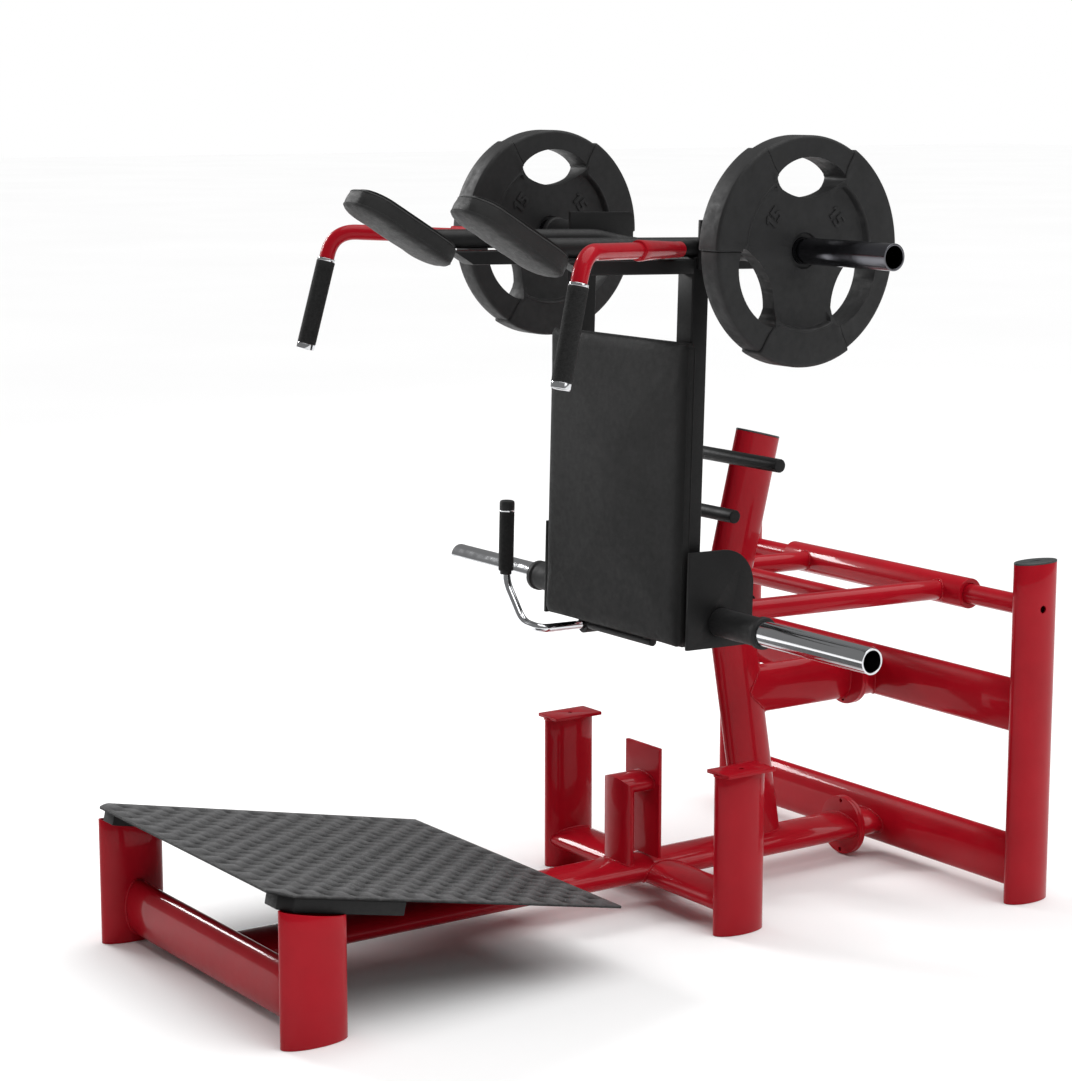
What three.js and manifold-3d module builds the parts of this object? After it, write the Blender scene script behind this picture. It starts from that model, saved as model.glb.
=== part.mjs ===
// Plate-loaded hack squat machine, in millimetres, +Z up.
// The user stands on the sloping platform at -Y with their back to the pad, so their left is +X.
// The frame is drawn with Y = 0 at the rear posts, then moved so that the origin lies on the floor
// under the middle of the machine.
import * as THREE from "three";
import { mergeVertices } from "three/addons/utils/BufferGeometryUtils.js";
import Module from "manifold-3d";

const wasm = await Module();
wasm.setup();

// ---------------------------------------------------------------- driving dimensions
const GAP = 0.3;                  // clearance left between pieces that touch
const WALL = 3;                   // wall of every frame tube
const PLATE_STEEL = 8;            // brackets and flanges
const OVAL_THIN = 52;             // short axis of the oval frame tube
const OVAL_LONG = 112;            // long axis of the oval frame tube
const SLEEVE_RADIUS = 25;         // weight sleeves, 50 mm across
const ARC_STEPS = 14;             // an oval is drawn with twice as many sides
const ROUND_SIDES = 24;

const REAR_POST_X = 470;
const REAR_POST_HEIGHT = 710;
const MID_POST_X = 292;
const MID_POST_Y = -621;
const MID_POST_LONG = 120;
const STOP_TOP = 333;             // top of the plates on the middle posts
const FRONT_POST_X = 358;
const FRONT_POST_Y = -1632;
const FRONT_POST_LONG = 134;
const REAR_BEAM_LOW = 75;
const REAR_BEAM_HIGH = 404;
const FRONT_BEAM_HEIGHT = 70;
const SPINE_WIDTH = 120;
const SPINE_THICK = 54;
const SPINE_HEIGHT = 66;
const SPINE_END = -88;
const FLANGE_RADIUS = 64;
const STRUT_TALL = 104;

const PLATFORM_FRONT_Y = -1708;
const PLATFORM_FRONT_HEIGHT = 287;
const PLATFORM_LENGTH = 758;
const PLATFORM_HALF_WIDTH = 367;
const PLATFORM_SLOPE = THREE.MathUtils.degToRad(11.65);
const TREAD_THICK = 6;

const PIVOT_HEIGHT = 617;
const SHAFT_RADIUS = 21;
const HUB_RADIUS = 32;            // the fat sleeve that turns on the shaft
const HUB_HALF_LENGTH = 285;
const CARRIAGE_LEAN = THREE.MathUtils.degToRad(1.5);

// Places on the carriage are measured from the pivot, with the carriage upright.
const ARM_X = 214;
const ARM_RADIUS = 21;
const UPRIGHT_X = 185;
const UPRIGHT_Y = -683;
const UPRIGHT_WIDTH = 50;
const UPRIGHT_DEPTH = 40;
const UPRIGHT_BOTTOM = -62;
const LOWER_HORN_Y = UPRIGHT_Y + UPRIGHT_DEPTH / 2 + SLEEVE_RADIUS + GAP;
const LOWER_HORN_Z = -11;
const UPPER_HORN_Y = -615;
const UPPER_HORN_Z = 726;
const HORN_TIP = 691;
const UPPER_HORN_TIP = 680;
const COLLAR_END = 384;
const COLLAR_RADIUS = 28.5;
const RAIL_X = 192;
const RAIL_RADIUS = 19;
const RAIL_Z = 722;
const RAIL_FRONT = -1110;
const RAIL_REAR = -553;
const RAIL_BEND = 60;
const RAIL_DIP = 18;                // how far the rail's rear cross lies below its sides
const UPRIGHT_TOP = RAIL_Z - RAIL_RADIUS - GAP;
const LOWER_BRACKET_X = 237;
const UPPER_BRACKET_X = RAIL_X + RAIL_RADIUS + GAP;
const SHOULDER_SLOPE = THREE.MathUtils.degToRad(29.6);
const SHOULDER_PAD_Y = -1109.5;
const SHOULDER_PAD_Z = 760;
const SHOULDER_PAD_WIDTH = 130;
const SHOULDER_PAD_LENGTH = 256;
const PAD_WIDTH = 464;
const PAD_HEIGHT = 603;
const PAD_THICK = 35;

const LEVER_X = -190;              // the catch lever's long straight run
const LEVER_Z = -86;
const LEVER_RADIUS = 9;

const DISC_RADIUS = 219;          // weight plate
const DISC_THICK = 62;

const TAU = 2 * Math.PI;
const SIDES = [{ name: "left", sign: 1 }, { name: "right", sign: -1 }];

// ---------------------------------------------------------------- materials
const paint = (color, roughness, metalness) => {
  return new THREE.MeshStandardMaterial({ color, roughness, metalness });
};
const RED = paint(0xa5161f, 0.28, 0.1);
const BLACK = paint(0x222224, 0.5, 0.1);
const VINYL = paint(0x2b2b2c, 0.62, 0);
const RUBBER = paint(0x262627, 0.7, 0);
const PLASTIC = paint(0x3a3d3e, 0.5, 0);
const CHROME = paint(0xd8dadd, 0.08, 1);
const TREAD = paint(0x4b4c4e, 0.6, 0.3);

// ---------------------------------------------------------------- solids
function toSolid(geometry) {
  const bare = geometry.clone();
  bare.deleteAttribute("normal");
  bare.deleteAttribute("uv");
  const merged = mergeVertices(bare, 1e-3);
  const vertProperties = new Float32Array(merged.attributes.position.array);
  const triVerts = new Uint32Array(merged.index.array);
  return new wasm.Manifold(new wasm.Mesh({ numProp: 3, vertProperties, triVerts }));
}

function toGeometry(solid) {
  const { vertProperties, triVerts } = solid.getMesh();
  const geometry = new THREE.BufferGeometry();
  geometry.setAttribute("position", new THREE.BufferAttribute(vertProperties, 3));
  geometry.setIndex(new THREE.BufferAttribute(triVerts, 1));
  geometry.computeVertexNormals();
  return geometry;
}

function cut(geometry, ...tools) {
  let solid = toSolid(geometry);
  for (const tool of tools) {
    solid = solid.subtract(toSolid(tool));
  }
  return toGeometry(solid);
}

function join(...geometries) {
  const [first, ...others] = geometries.map(toSolid);
  return toGeometry(others.reduce((sum, next) => sum.add(next), first));
}

// ---------------------------------------------------------------- shapes and tubes
function oval(width, depth) {
  return new THREE.Shape().absellipse(0, 0, width / 2, depth / 2, 0, TAU, false);
}

function hollowOval(width, depth, wall = WALL) {
  const shape = oval(width, depth);
  shape.holes.push(new THREE.Path().absellipse(0, 0, width / 2 - wall, depth / 2 - wall, 0, TAU, true));
  return shape;
}

function rectangle(width, depth) {
  return new THREE.Shape()
    .moveTo(-width / 2, -depth / 2)
    .lineTo(width / 2, -depth / 2)
    .lineTo(width / 2, depth / 2)
    .lineTo(-width / 2, depth / 2);
}

function hollowRectangle(width, depth, wall = WALL) {
  const shape = rectangle(width, depth);
  shape.holes.push(rectangle(width - 2 * wall, depth - 2 * wall));
  return shape;
}

function extrude(shape, length) {
  return new THREE.ExtrudeGeometry(shape, { depth: length, bevelEnabled: false, curveSegments: ARC_STEPS });
}

// An extrusion runs along +Z from its shape. These lay it along X or Y instead; the shape's own x
// then points down when it runs along X, and stays on X when it runs along Y.
const alongX = (geometry) => geometry.rotateY(Math.PI / 2);
const alongY = (geometry) => geometry.rotateX(-Math.PI / 2);

const box = (x, y, z) => new THREE.BoxGeometry(x, y, z);
const bar = (radius, length) => new THREE.CylinderGeometry(radius, radius, length, ROUND_SIDES);
const barX = (radius, length) => bar(radius, length).rotateZ(Math.PI / 2);
const barZ = (radius, length) => bar(radius, length).rotateX(Math.PI / 2);

// A round profile of [radius, place along X] corners, turned about the X axis.
function turnedX(profile) {
  const points = profile.map(([radius, along]) => new THREE.Vector2(radius, along));
  return new THREE.LatheGeometry([...points, points[0]], ROUND_SIDES).rotateZ(-Math.PI / 2);
}

const pipeX = (outer, inner, start, end) => {
  return turnedX([[inner, start], [outer, start], [outer, end], [inner, end]]);
};

// A round bar through the given corners, each bent to a smooth curve that starts bend away from it.
function bentBar(corners, bends, radius, steps, sides = 12) {
  const path = new THREE.CurvePath();
  let start = corners[0];
  for (let i = 1; i < corners.length - 1; i += 1) {
    const back = corners[i - 1].clone().sub(corners[i]).setLength(bends[i - 1]).add(corners[i]);
    const ahead = corners[i + 1].clone().sub(corners[i]).setLength(bends[i - 1]).add(corners[i]);
    path.add(new THREE.LineCurve3(start, back));
    path.add(new THREE.QuadraticBezierCurve3(back, corners[i], ahead));
    start = ahead;
  }
  path.add(new THREE.LineCurve3(start, corners.at(-1)));
  const section = new THREE.Shape().absarc(0, 0, radius, 0, TAU, false);
  return new THREE.ExtrudeGeometry(section, { steps, extrudePath: path, curveSegments: sides / 2 });
}

function add(group, name, geometry, material, x = 0, y = 0, z = 0) {
  const mesh = new THREE.Mesh(geometry, material);
  mesh.name = name;
  mesh.position.set(x, y, z);
  group.add(mesh);
  return mesh;
}

// ---------------------------------------------------------------- base frame
function post(width, long, height) {
  return extrude(hollowOval(width, long), height);
}

// A tube across the frame from one post's centre to another's, its ends shaped to their oval sides.
function crossbeam(start, end, tall, deep, postWidth, postLong) {
  const tube = alongX(extrude(hollowOval(tall, deep), end - start)).translate(start, 0, 0);
  const space = (x) => extrude(oval(postWidth + 2 * GAP, postLong + 2 * GAP), 1000).translate(x, 0, -500);
  return cut(tube, space(start), space(end));
}

// A round joining plate across the Y axis, with a bolt hole above and below its middle.
function flangeDisc() {
  const disc = alongY(extrude(oval(2 * FLANGE_RADIUS, 2 * FLANGE_RADIUS), PLATE_STEEL));
  const hole = (up) => bar(4.5, 40).translate(0, 0, up * 55);
  return cut(disc, hole(1), hole(-1));
}

function rearFrame(frame) {
  const beam = () => crossbeam(-REAR_POST_X, REAR_POST_X, OVAL_LONG, OVAL_THIN, OVAL_THIN, OVAL_LONG);
  const hollowLength = 2 * REAR_POST_X;
  for (const [name, height, flangeHeight, width, tall] of [
    ["lower_rear_crossbeam", REAR_BEAM_LOW, SPINE_HEIGHT, SPINE_WIDTH, SPINE_THICK],
    ["upper_rear_crossbeam", REAR_BEAM_HIGH, REAR_BEAM_HIGH, OVAL_THIN, STRUT_TALL],
  ]) {
    const flangeY = SPINE_END + GAP;
    const drop = flangeHeight - height;
    const flange = flangeDisc().translate(0, flangeY, drop);
    const stubLength = -flangeY - OVAL_THIN / 2 + 8;
    const stub = alongY(extrude(oval(width, tall), stubLength)).translate(0, flangeY, drop);
    const hollow = barX(1, 1).scale(hollowLength, OVAL_THIN - 2 * WALL, OVAL_LONG - 2 * WALL);
    const solidPart = join(flange, cut(stub, hollow.scale(1, 0.5, 0.5)));
    add(frame, name, join(beam(), solidPart), RED, 0, 0, height);
  }
  for (const { name, sign } of SIDES) {
    const rearPost = post(OVAL_THIN, OVAL_LONG, REAR_POST_HEIGHT);
    const boltHole = barX(8, 30).translate(sign * OVAL_THIN / 2, 0, PIVOT_HEIGHT);
    const cap = extrude(oval(OVAL_THIN, OVAL_LONG), 4);
    add(frame, `rear_post_${name}`, cut(rearPost, boltHole), RED, sign * REAR_POST_X, 0, 0);
    add(frame, `rear_post_cap_${name}`, cap, PLASTIC, sign * REAR_POST_X, 0, REAR_POST_HEIGHT + GAP);
  }
  const shaftLength = 2 * (REAR_POST_X - OVAL_THIN / 2 - GAP);
  add(frame, "pivot_shaft", barX(SHAFT_RADIUS, shaftLength), RED, 0, 0, PIVOT_HEIGHT);
}

function spine(frame) {
  const start = FRONT_POST_Y + OVAL_THIN / 2 + GAP;
  const length = SPINE_END - PLATE_STEEL / 2 - start;
  const tube = alongY(extrude(hollowOval(SPINE_WIDTH, SPINE_THICK), length)).translate(0, start, 0);
  const flange = flangeDisc().translate(0, SPINE_END - PLATE_STEEL, 0);
  add(frame, "spine", join(tube, flange), RED, 0, 0, SPINE_HEIGHT);
}

function middleFrame(frame) {
  const spineSpace = alongY(extrude(oval(SPINE_WIDTH + 2 * GAP, SPINE_THICK + 2 * GAP), 200))
    .translate(0, -100, SPINE_HEIGHT - 60);
  const plate = box(70, 120, 7);
  const plateHole = barZ(5, 30);
  for (const { name, sign } of SIDES) {
    const [start, end] = sign > 0 ? [0, MID_POST_X] : [-MID_POST_X, 0];
    const beam = crossbeam(start, end, 48, 110, OVAL_THIN, MID_POST_LONG);
    const midPost = post(OVAL_THIN, MID_POST_LONG, STOP_TOP - 6);
    const top = cut(plate, plateHole).translate(0, 4, STOP_TOP - 3.5);
    add(frame, `mid_crossbeam_${name}`, cut(beam, spineSpace), RED, 0, MID_POST_Y, 60);
    add(frame, `mid_post_${name}`, join(midPost, top), RED, sign * MID_POST_X, MID_POST_Y, 0);
  }
}

// The short post on the spine, with a mitred elbow to the stop plate behind it.
function stopStub(frame) {
  const postY = -700;
  const width = 86;
  const depth = 40;
  const plateFront = -642;
  const elbowHeight = 250;
  const foot = SPINE_HEIGHT + SPINE_THICK / 2 + GAP;
  const reach = 60;
  const upright = extrude(oval(width, depth), elbowHeight + reach - foot).translate(0, postY, foot);
  const level = alongY(extrude(oval(width, depth), plateFront - GAP - postY + reach))
    .translate(0, postY - reach, elbowHeight);
  const above = box(400, 400, 400).translate(0, 0, 200.1);
  const mitre = (turn) => above.clone().rotateX(turn).translate(0, postY, elbowHeight);
  const lower = cut(upright, mitre(-Math.PI / 4));
  const upper = cut(level, mitre(0.75 * Math.PI));
  add(frame, "stop_stub", join(lower, upper), RED);
  add(frame, "stop_plate", box(114, PLATE_STEEL, 232), RED, 0, plateFront + PLATE_STEEL / 2, 211);
}

// The column leans forward from its foot to a knee near the pivot's height, and back above it.
function column(frame) {
  const foot = new THREE.Vector3(0, -331, 92);
  const knee = new THREE.Vector3(0, -424, 633);
  const top = new THREE.Vector3(0, -346, 949);
  const reach = 80;
  const lowTurn = Math.atan2(foot.y - knee.y, knee.z - foot.z);
  const highTurn = Math.atan2(top.y - knee.y, top.z - knee.z);
  const kneeTurn = (lowTurn - highTurn) / 2;
  const halfSpace = (up) => {
    const block = box(600, 600, 600).translate(0, 0, up * 300.1);
    return block.rotateX(kneeTurn).translate(0, knee.y, knee.z);
  };
  const limb = (from, to, width, depth, extraStart, extraEnd) => {
    const along = to.clone().sub(from);
    const length = along.length() + extraStart + extraEnd;
    const turn = -Math.atan2(along.y, along.z);
    const run = extrude(oval(width, depth), length).translate(0, 0, -extraStart);
    return run.rotateX(turn).translate(0, from.y, from.z);
  };
  const both = (width, depth, extra) => join(
    cut(limb(foot, knee, width, depth, reach, reach), halfSpace(1)),
    cut(limb(knee, top, width, depth, reach, extra), halfSpace(-1)),
  );
  const outside = both(OVAL_THIN, OVAL_LONG, 0);
  const inside = both(OVAL_THIN - 2 * WALL, OVAL_LONG - 2 * WALL, reach);
  const spineSpace = extrude(oval(SPINE_WIDTH + 2 * GAP, SPINE_THICK + 2 * GAP), 600);
  const spineTop = alongY(spineSpace).translate(0, -600, SPINE_HEIGHT);
  const underneath = box(200, 600, 200).translate(0, -300, SPINE_HEIGHT - 100);
  add(frame, "column", cut(outside, inside, spineTop, underneath), RED);

  const lean = Math.atan2(top.y - knee.y, top.z - knee.z);
  const cap = add(frame, "column_cap", extrude(oval(OVAL_THIN, OVAL_LONG), 4), PLASTIC, 0, top.y, top.z);
  cap.rotation.x = -lean;
  cap.translateZ(GAP);

  const strutEnd = SPINE_END - PLATE_STEEL;
  const strutBar = extrude(oval(OVAL_THIN, STRUT_TALL), 260);
  const strut = alongY(strutBar).translate(0, strutEnd - 260, REAR_BEAM_HIGH);
  const flange = flangeDisc().translate(0, strutEnd, REAR_BEAM_HIGH);
  const columnSpace = limb(foot, knee, OVAL_THIN + 2 * GAP, OVAL_LONG + 2 * GAP, reach, reach);
  const frontBlock = box(200, 300, 300).translate(0, -150, 0).rotateX(-0.17);
  const inFront = frontBlock.translate(0, -380, REAR_BEAM_HIGH);
  add(frame, "column_strut", join(cut(strut, columnSpace, inFront), flange), RED);
}

// Round pegs across the front of the column, which the catch rests on.
function catchPegs(frame) {
  const radius = 14;
  for (const [name, halfLength, y, height] of [
    ["catch_peg_upper", 184, -438, 910],
    ["catch_peg_middle", 78, -467, 795],
    ["catch_peg_lower", 176, -504, 639],
  ]) {
    add(frame, name, barX(radius, 2 * halfLength), BLACK, 0, y, height);
  }
}

function frontFrame(frame) {
  const postWidth = OVAL_THIN + 2;
  const beam = crossbeam(-FRONT_POST_X, FRONT_POST_X, OVAL_LONG, OVAL_THIN, postWidth, FRONT_POST_LONG);
  add(frame, "front_crossbeam", beam, RED, 0, FRONT_POST_Y, FRONT_BEAM_HEIGHT);

  const platform = new THREE.Group();
  platform.position.set(0, PLATFORM_FRONT_Y, PLATFORM_FRONT_HEIGHT);
  platform.rotation.x = -PLATFORM_SLOPE;
  frame.add(platform);
  const halfWidth = PLATFORM_HALF_WIDTH;
  const chamfer = 35;
  const outline = new THREE.Shape()
    .moveTo(-halfWidth, chamfer)
    .lineTo(-halfWidth + chamfer, 0)
    .lineTo(halfWidth - chamfer, 0)
    .lineTo(halfWidth, chamfer)
    .lineTo(halfWidth, PLATFORM_LENGTH)
    .lineTo(-halfWidth, PLATFORM_LENGTH);
  add(platform, "tread_plate", extrude(outline, TREAD_THICK).translate(0, 0, -TREAD_THICK), TREAD);

  const bracketDepth = 26;
  const bracketTop = -TREAD_THICK - GAP;
  for (const { name, sign } of SIDES) {
    const bracket = new THREE.Shape()
      .moveTo(sign * -34, 18)
      .lineTo(sign * 8, 18)
      .lineTo(sign * 30, 40)
      .lineTo(sign * 30, 272)
      .lineTo(sign * -34, 272);
    const solid = extrude(bracket, bracketDepth).translate(0, 0, bracketTop - bracketDepth);
    add(platform, `platform_bracket_${name}`, solid, BLACK, sign * 336, 0, 0);

    const frontPost = post(postWidth, FRONT_POST_LONG, PLATFORM_FRONT_HEIGHT);
    const lift = 200 + bracketTop - bracketDepth - GAP;
    const above = box(300, 600, 400).translate(0, 0, lift).rotateX(-PLATFORM_SLOPE)
      .translate(0, PLATFORM_FRONT_Y - FRONT_POST_Y, PLATFORM_FRONT_HEIGHT);
    add(frame, `front_post_${name}`, cut(frontPost, above), RED, sign * FRONT_POST_X, FRONT_POST_Y, 0);
  }
}

// ---------------------------------------------------------------- swinging carriage
function swingArms(carriage) {
  const bearing = SHAFT_RADIUS + GAP;
  const bore = HUB_RADIUS - 5;
  const shoulder = HUB_HALF_LENGTH - 22;
  const hub = turnedX([
    [bearing, -HUB_HALF_LENGTH],
    [HUB_RADIUS, -HUB_HALF_LENGTH],
    [HUB_RADIUS, HUB_HALF_LENGTH],
    [bearing, HUB_HALF_LENGTH],
    [bearing, shoulder],
    [bore, shoulder],
    [bore, -shoulder],
    [bearing, -shoulder],
  ]);
  add(carriage, "pivot_hub", hub, RED);
  const hubSpace = barX(HUB_RADIUS + GAP, 2 * HUB_HALF_LENGTH + 20);
  const armEnd = LOWER_HORN_Y + SLEEVE_RADIUS + GAP;
  for (const { name, sign } of SIDES) {
    const armTube = extrude(hollowOval(2 * ARM_RADIUS, 2 * ARM_RADIUS), -armEnd);
    const arm = alongY(armTube).translate(sign * ARM_X, armEnd, 0);
    add(carriage, `swing_arm_${name}`, cut(arm, hubSpace), RED);
  }
  const halfLength = ARM_X - ARM_RADIUS - GAP;
  add(carriage, "arm_cross_tube", pipeX(17, 14, -halfLength, halfLength), RED, 0, -265, 0);
}

function roundedBracket(front, rear, low, high, corner) {
  return new THREE.Shape()
    .moveTo(front, low)
    .lineTo(front, high)
    .lineTo(rear - corner, high)
    .absarc(rear - corner, high - corner, corner, Math.PI / 2, 0, true)
    .lineTo(rear, low);
}

// A flat plate standing in the YZ plane, drawn with Y as the shape's x and Z as its y.
function sidePlate(shape, thick) {
  return extrude(shape, thick).rotateX(Math.PI / 2).rotateZ(Math.PI / 2);
}

function carriageFrame(carriage) {
  const height = UPRIGHT_TOP - UPRIGHT_BOTTOM;
  const bracketSpace = barX(SLEEVE_RADIUS + GAP, 60);
  for (const { name, sign } of SIDES) {
    const upright = extrude(hollowRectangle(UPRIGHT_WIDTH, UPRIGHT_DEPTH), height);
    add(carriage, `upright_${name}`, upright, BLACK, sign * UPRIGHT_X, UPRIGHT_Y, UPRIGHT_BOTTOM);

    const low = roundedBracket(-718, -555, UPRIGHT_BOTTOM, 132, 74);
    const axleHole = bracketSpace.clone().translate(0, LOWER_HORN_Y, LOWER_HORN_Z);
    const lowPlate = cut(sidePlate(low, PLATE_STEEL), axleHole);
    const lowX = sign > 0 ? LOWER_BRACKET_X : -LOWER_BRACKET_X - PLATE_STEEL;
    add(carriage, `lower_bracket_${name}`, lowPlate, BLACK, lowX, 0, 0);

    const high = roundedBracket(-696, -534, 680, 775, 12);
    const highX = sign > 0 ? UPPER_BRACKET_X : -UPPER_BRACKET_X - PLATE_STEEL;
    add(carriage, `upper_bracket_${name}`, sidePlate(high, PLATE_STEEL), BLACK, highX, 0, 0);
  }
  const corners = [
    new THREE.Vector3(RAIL_X, RAIL_FRONT, RAIL_Z),
    new THREE.Vector3(RAIL_X, RAIL_REAR - 95, RAIL_Z),
    new THREE.Vector3(RAIL_X, RAIL_REAR, RAIL_Z - RAIL_DIP),
    new THREE.Vector3(-RAIL_X, RAIL_REAR, RAIL_Z - RAIL_DIP),
    new THREE.Vector3(-RAIL_X, RAIL_REAR - 95, RAIL_Z),
    new THREE.Vector3(-RAIL_X, RAIL_FRONT, RAIL_Z),
  ];
  const platesBelow = box(800, 600, 200).translate(0, 0, 5 + GAP - 100).rotateX(-SHOULDER_SLOPE)
    .translate(0, SHOULDER_PAD_Y, SHOULDER_PAD_Z);
  const rail = bentBar(corners, [20, RAIL_BEND, RAIL_BEND, 20], RAIL_RADIUS, 60, 16);
  add(carriage, "top_rail", cut(rail, platesBelow), BLACK);
}

// Each shoulder pad hangs under a plate, which slopes down to the rear to meet its arm. In the
// plate's own frame y runs down the slope and z points out of the plate's lower face.
function shoulderPads(carriage) {
  const armLow = 671;
  const armHigh = RAIL_Z - RAIL_RADIUS - 4;
  const armRear = UPRIGHT_Y - UPRIGHT_DEPTH / 2 - GAP;
  const armLength = armRear - SHOULDER_PAD_Y - SHOULDER_PAD_LENGTH / 2 + 30;
  const onSlope = (geometry, x) => {
    return geometry.rotateX(-SHOULDER_SLOPE).translate(x, SHOULDER_PAD_Y, SHOULDER_PAD_Z);
  };
  for (const { name, sign } of SIDES) {
    const x = sign * RAIL_X;
    const arm = box(UPRIGHT_DEPTH, armLength, armHigh - armLow)
      .translate(x, armRear - armLength / 2, (armLow + armHigh) / 2);
    const padSpace = onSlope(box(200, SHOULDER_PAD_LENGTH + 2 * GAP, 80).translate(0, 0, -40), x);
    const plate = onSlope(box(112, 254, 5).translate(0, 14, 2.5), x);
    add(carriage, `shoulder_arm_${name}`, join(cut(arm, padSpace), plate), BLACK);

    const pad = cushion(SHOULDER_PAD_WIDTH, SHOULDER_PAD_LENGTH, 28, 16, 30, 18).rotateX(Math.PI);
    const mesh = add(carriage, `shoulder_pad_${name}`, pad, VINYL, x, SHOULDER_PAD_Y, SHOULDER_PAD_Z);
    mesh.rotation.x = -SHOULDER_SLOPE;
    mesh.translateZ(-GAP);
  }
}

// A flat-backed cushion on Z = 0, with straight sides and then a crown over its edges.
function cushion(width, length, side, crown, inset, corner) {
  const outline = roundedPad(width - 2 * inset, length - 2 * inset, corner);
  const whole = new THREE.ExtrudeGeometry(outline, {
    depth: 2 * side,
    bevelThickness: crown,
    bevelSize: inset,
    bevelSegments: 3,
    curveSegments: 4,
  });
  return cut(whole, box(1000, 1000, 200).translate(0, 0, side - 100)).translate(0, 0, -side);
}

function roundedPad(width, length, corner) {
  const x = width / 2;
  const y = length / 2;
  const shape = new THREE.Shape().moveTo(-x, -y + corner);
  shape.absarc(-x + corner, -y + corner, corner, Math.PI, 1.5 * Math.PI, false);
  shape.absarc(x - corner, -y + corner, corner, -Math.PI / 2, 0, false);
  shape.absarc(x - corner, y - corner, corner, 0, Math.PI / 2, false);
  shape.absarc(-x + corner, y - corner, corner, Math.PI / 2, Math.PI, false);
  return shape;
}

function backPad(carriage) {
  const rear = UPRIGHT_Y - UPRIGHT_DEPTH / 2 - GAP;
  const pad = cushion(PAD_WIDTH, PAD_HEIGHT, PAD_THICK - 12, 12, 60, 6).rotateX(Math.PI / 2);
  add(carriage, "back_pad", pad, VINYL, 0, rear, UPRIGHT_BOTTOM + PAD_HEIGHT / 2 + 1);
}

// A rubber collar with a ring at its outer end, on a sleeve that holds the weight plates.
function horns(carriage) {
  const collar = (start) => turnedX([
    [SLEEVE_RADIUS + GAP, start],
    [COLLAR_RADIUS, start],
    [COLLAR_RADIUS, COLLAR_END - 14],
    [COLLAR_RADIUS + 3.5, COLLAR_END - 12],
    [COLLAR_RADIUS + 3.5, COLLAR_END - 2],
    [COLLAR_RADIUS + 1.5, COLLAR_END],
    [SLEEVE_RADIUS + GAP, COLLAR_END],
  ]);
  const lowStart = LOWER_BRACKET_X + PLATE_STEEL + GAP;
  const highStart = UPPER_BRACKET_X + PLATE_STEEL + GAP;
  for (const { name, sign } of SIDES) {
    const facing = (geometry) => (sign > 0 ? geometry : geometry.rotateZ(Math.PI));
    add(carriage, `lower_collar_${name}`, facing(collar(lowStart)), RUBBER, 0, LOWER_HORN_Y, LOWER_HORN_Z);
    add(carriage, `upper_collar_${name}`, facing(collar(highStart)), RUBBER, 0, UPPER_HORN_Y, UPPER_HORN_Z);
    const sleeve = facing(pipeX(SLEEVE_RADIUS, SLEEVE_RADIUS - 4, highStart, UPPER_HORN_TIP));
    add(carriage, `upper_sleeve_${name}`, sleeve, CHROME, 0, UPPER_HORN_Y, UPPER_HORN_Z);
  }
  const axle = pipeX(SLEEVE_RADIUS, SLEEVE_RADIUS - 4, -HORN_TIP, HORN_TIP);
  add(carriage, "lower_axle", axle, CHROME, 0, LOWER_HORN_Y, LOWER_HORN_Z);
}

// Bent handles beside the shoulder pads, each in a tapered socket welded to the top rail.
function handles(carriage) {
  const radius = 15.5;
  const gripRadius = 19;
  for (const { name, sign } of SIDES) {
    const root = new THREE.Vector3(sign * 217, -745, RAIL_Z - 3);
    const bend = new THREE.Vector3(sign * 437, -1127, 727);
    const end = new THREE.Vector3(sign * 451, -1182, 488);
    const along = bend.clone().sub(root).normalize();
    const turn = new THREE.Quaternion().setFromUnitVectors(new THREE.Vector3(0, 1, 0), along);
    const socketLength = 205;
    const socket = new THREE.CylinderGeometry(radius + 4.5, radius - 1, socketLength, ROUND_SIDES)
      .translate(0, socketLength / 2, 0)
      .applyQuaternion(turn)
      .translate(root.x, root.y, root.z);
    const rail = alongY(extrude(oval(2 * RAIL_RADIUS + 0.6, 2 * RAIL_RADIUS + 0.6), 700))
      .translate(sign * RAIL_X, -1100, RAIL_Z);
    const inside = box(60, 400, 100).translate(sign * (RAIL_X - 30), -800, RAIL_Z);
    const bracket = box(PLATE_STEEL + 2 * GAP + 2, 200, 140)
      .translate(sign * (UPPER_BRACKET_X + PLATE_STEEL / 2 - 1), -600, RAIL_Z);
    const bent = bentBar([root, bend, end], [48], radius, 26, 16);
    const whole = cut(join(socket, bent), rail, inside, bracket);
    const down = end.clone().sub(bend).normalize();
    const gripStart = 62;
    const gripLength = end.distanceTo(bend) - gripStart - 4;
    const gripTurn = new THREE.Quaternion().setFromUnitVectors(new THREE.Vector3(0, 1, 0), down);
    const place = bend.clone().addScaledVector(down, gripStart);
    const grip = new THREE.LatheGeometry(
      [
        [radius + GAP, 0],
        [gripRadius, 0],
        [gripRadius, gripLength],
        [radius + GAP, gripLength],
        [radius + GAP, 0],
      ]
        .map(([r, l]) => new THREE.Vector2(r, l)),
      ROUND_SIDES,
    );
    add(carriage, `handle_${name}`, whole, RED);
    const gripMesh = add(carriage, `handle_grip_${name}`, grip, RUBBER, place.x, place.y, place.z);
    gripMesh.quaternion.copy(gripTurn);
  }
}

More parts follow.
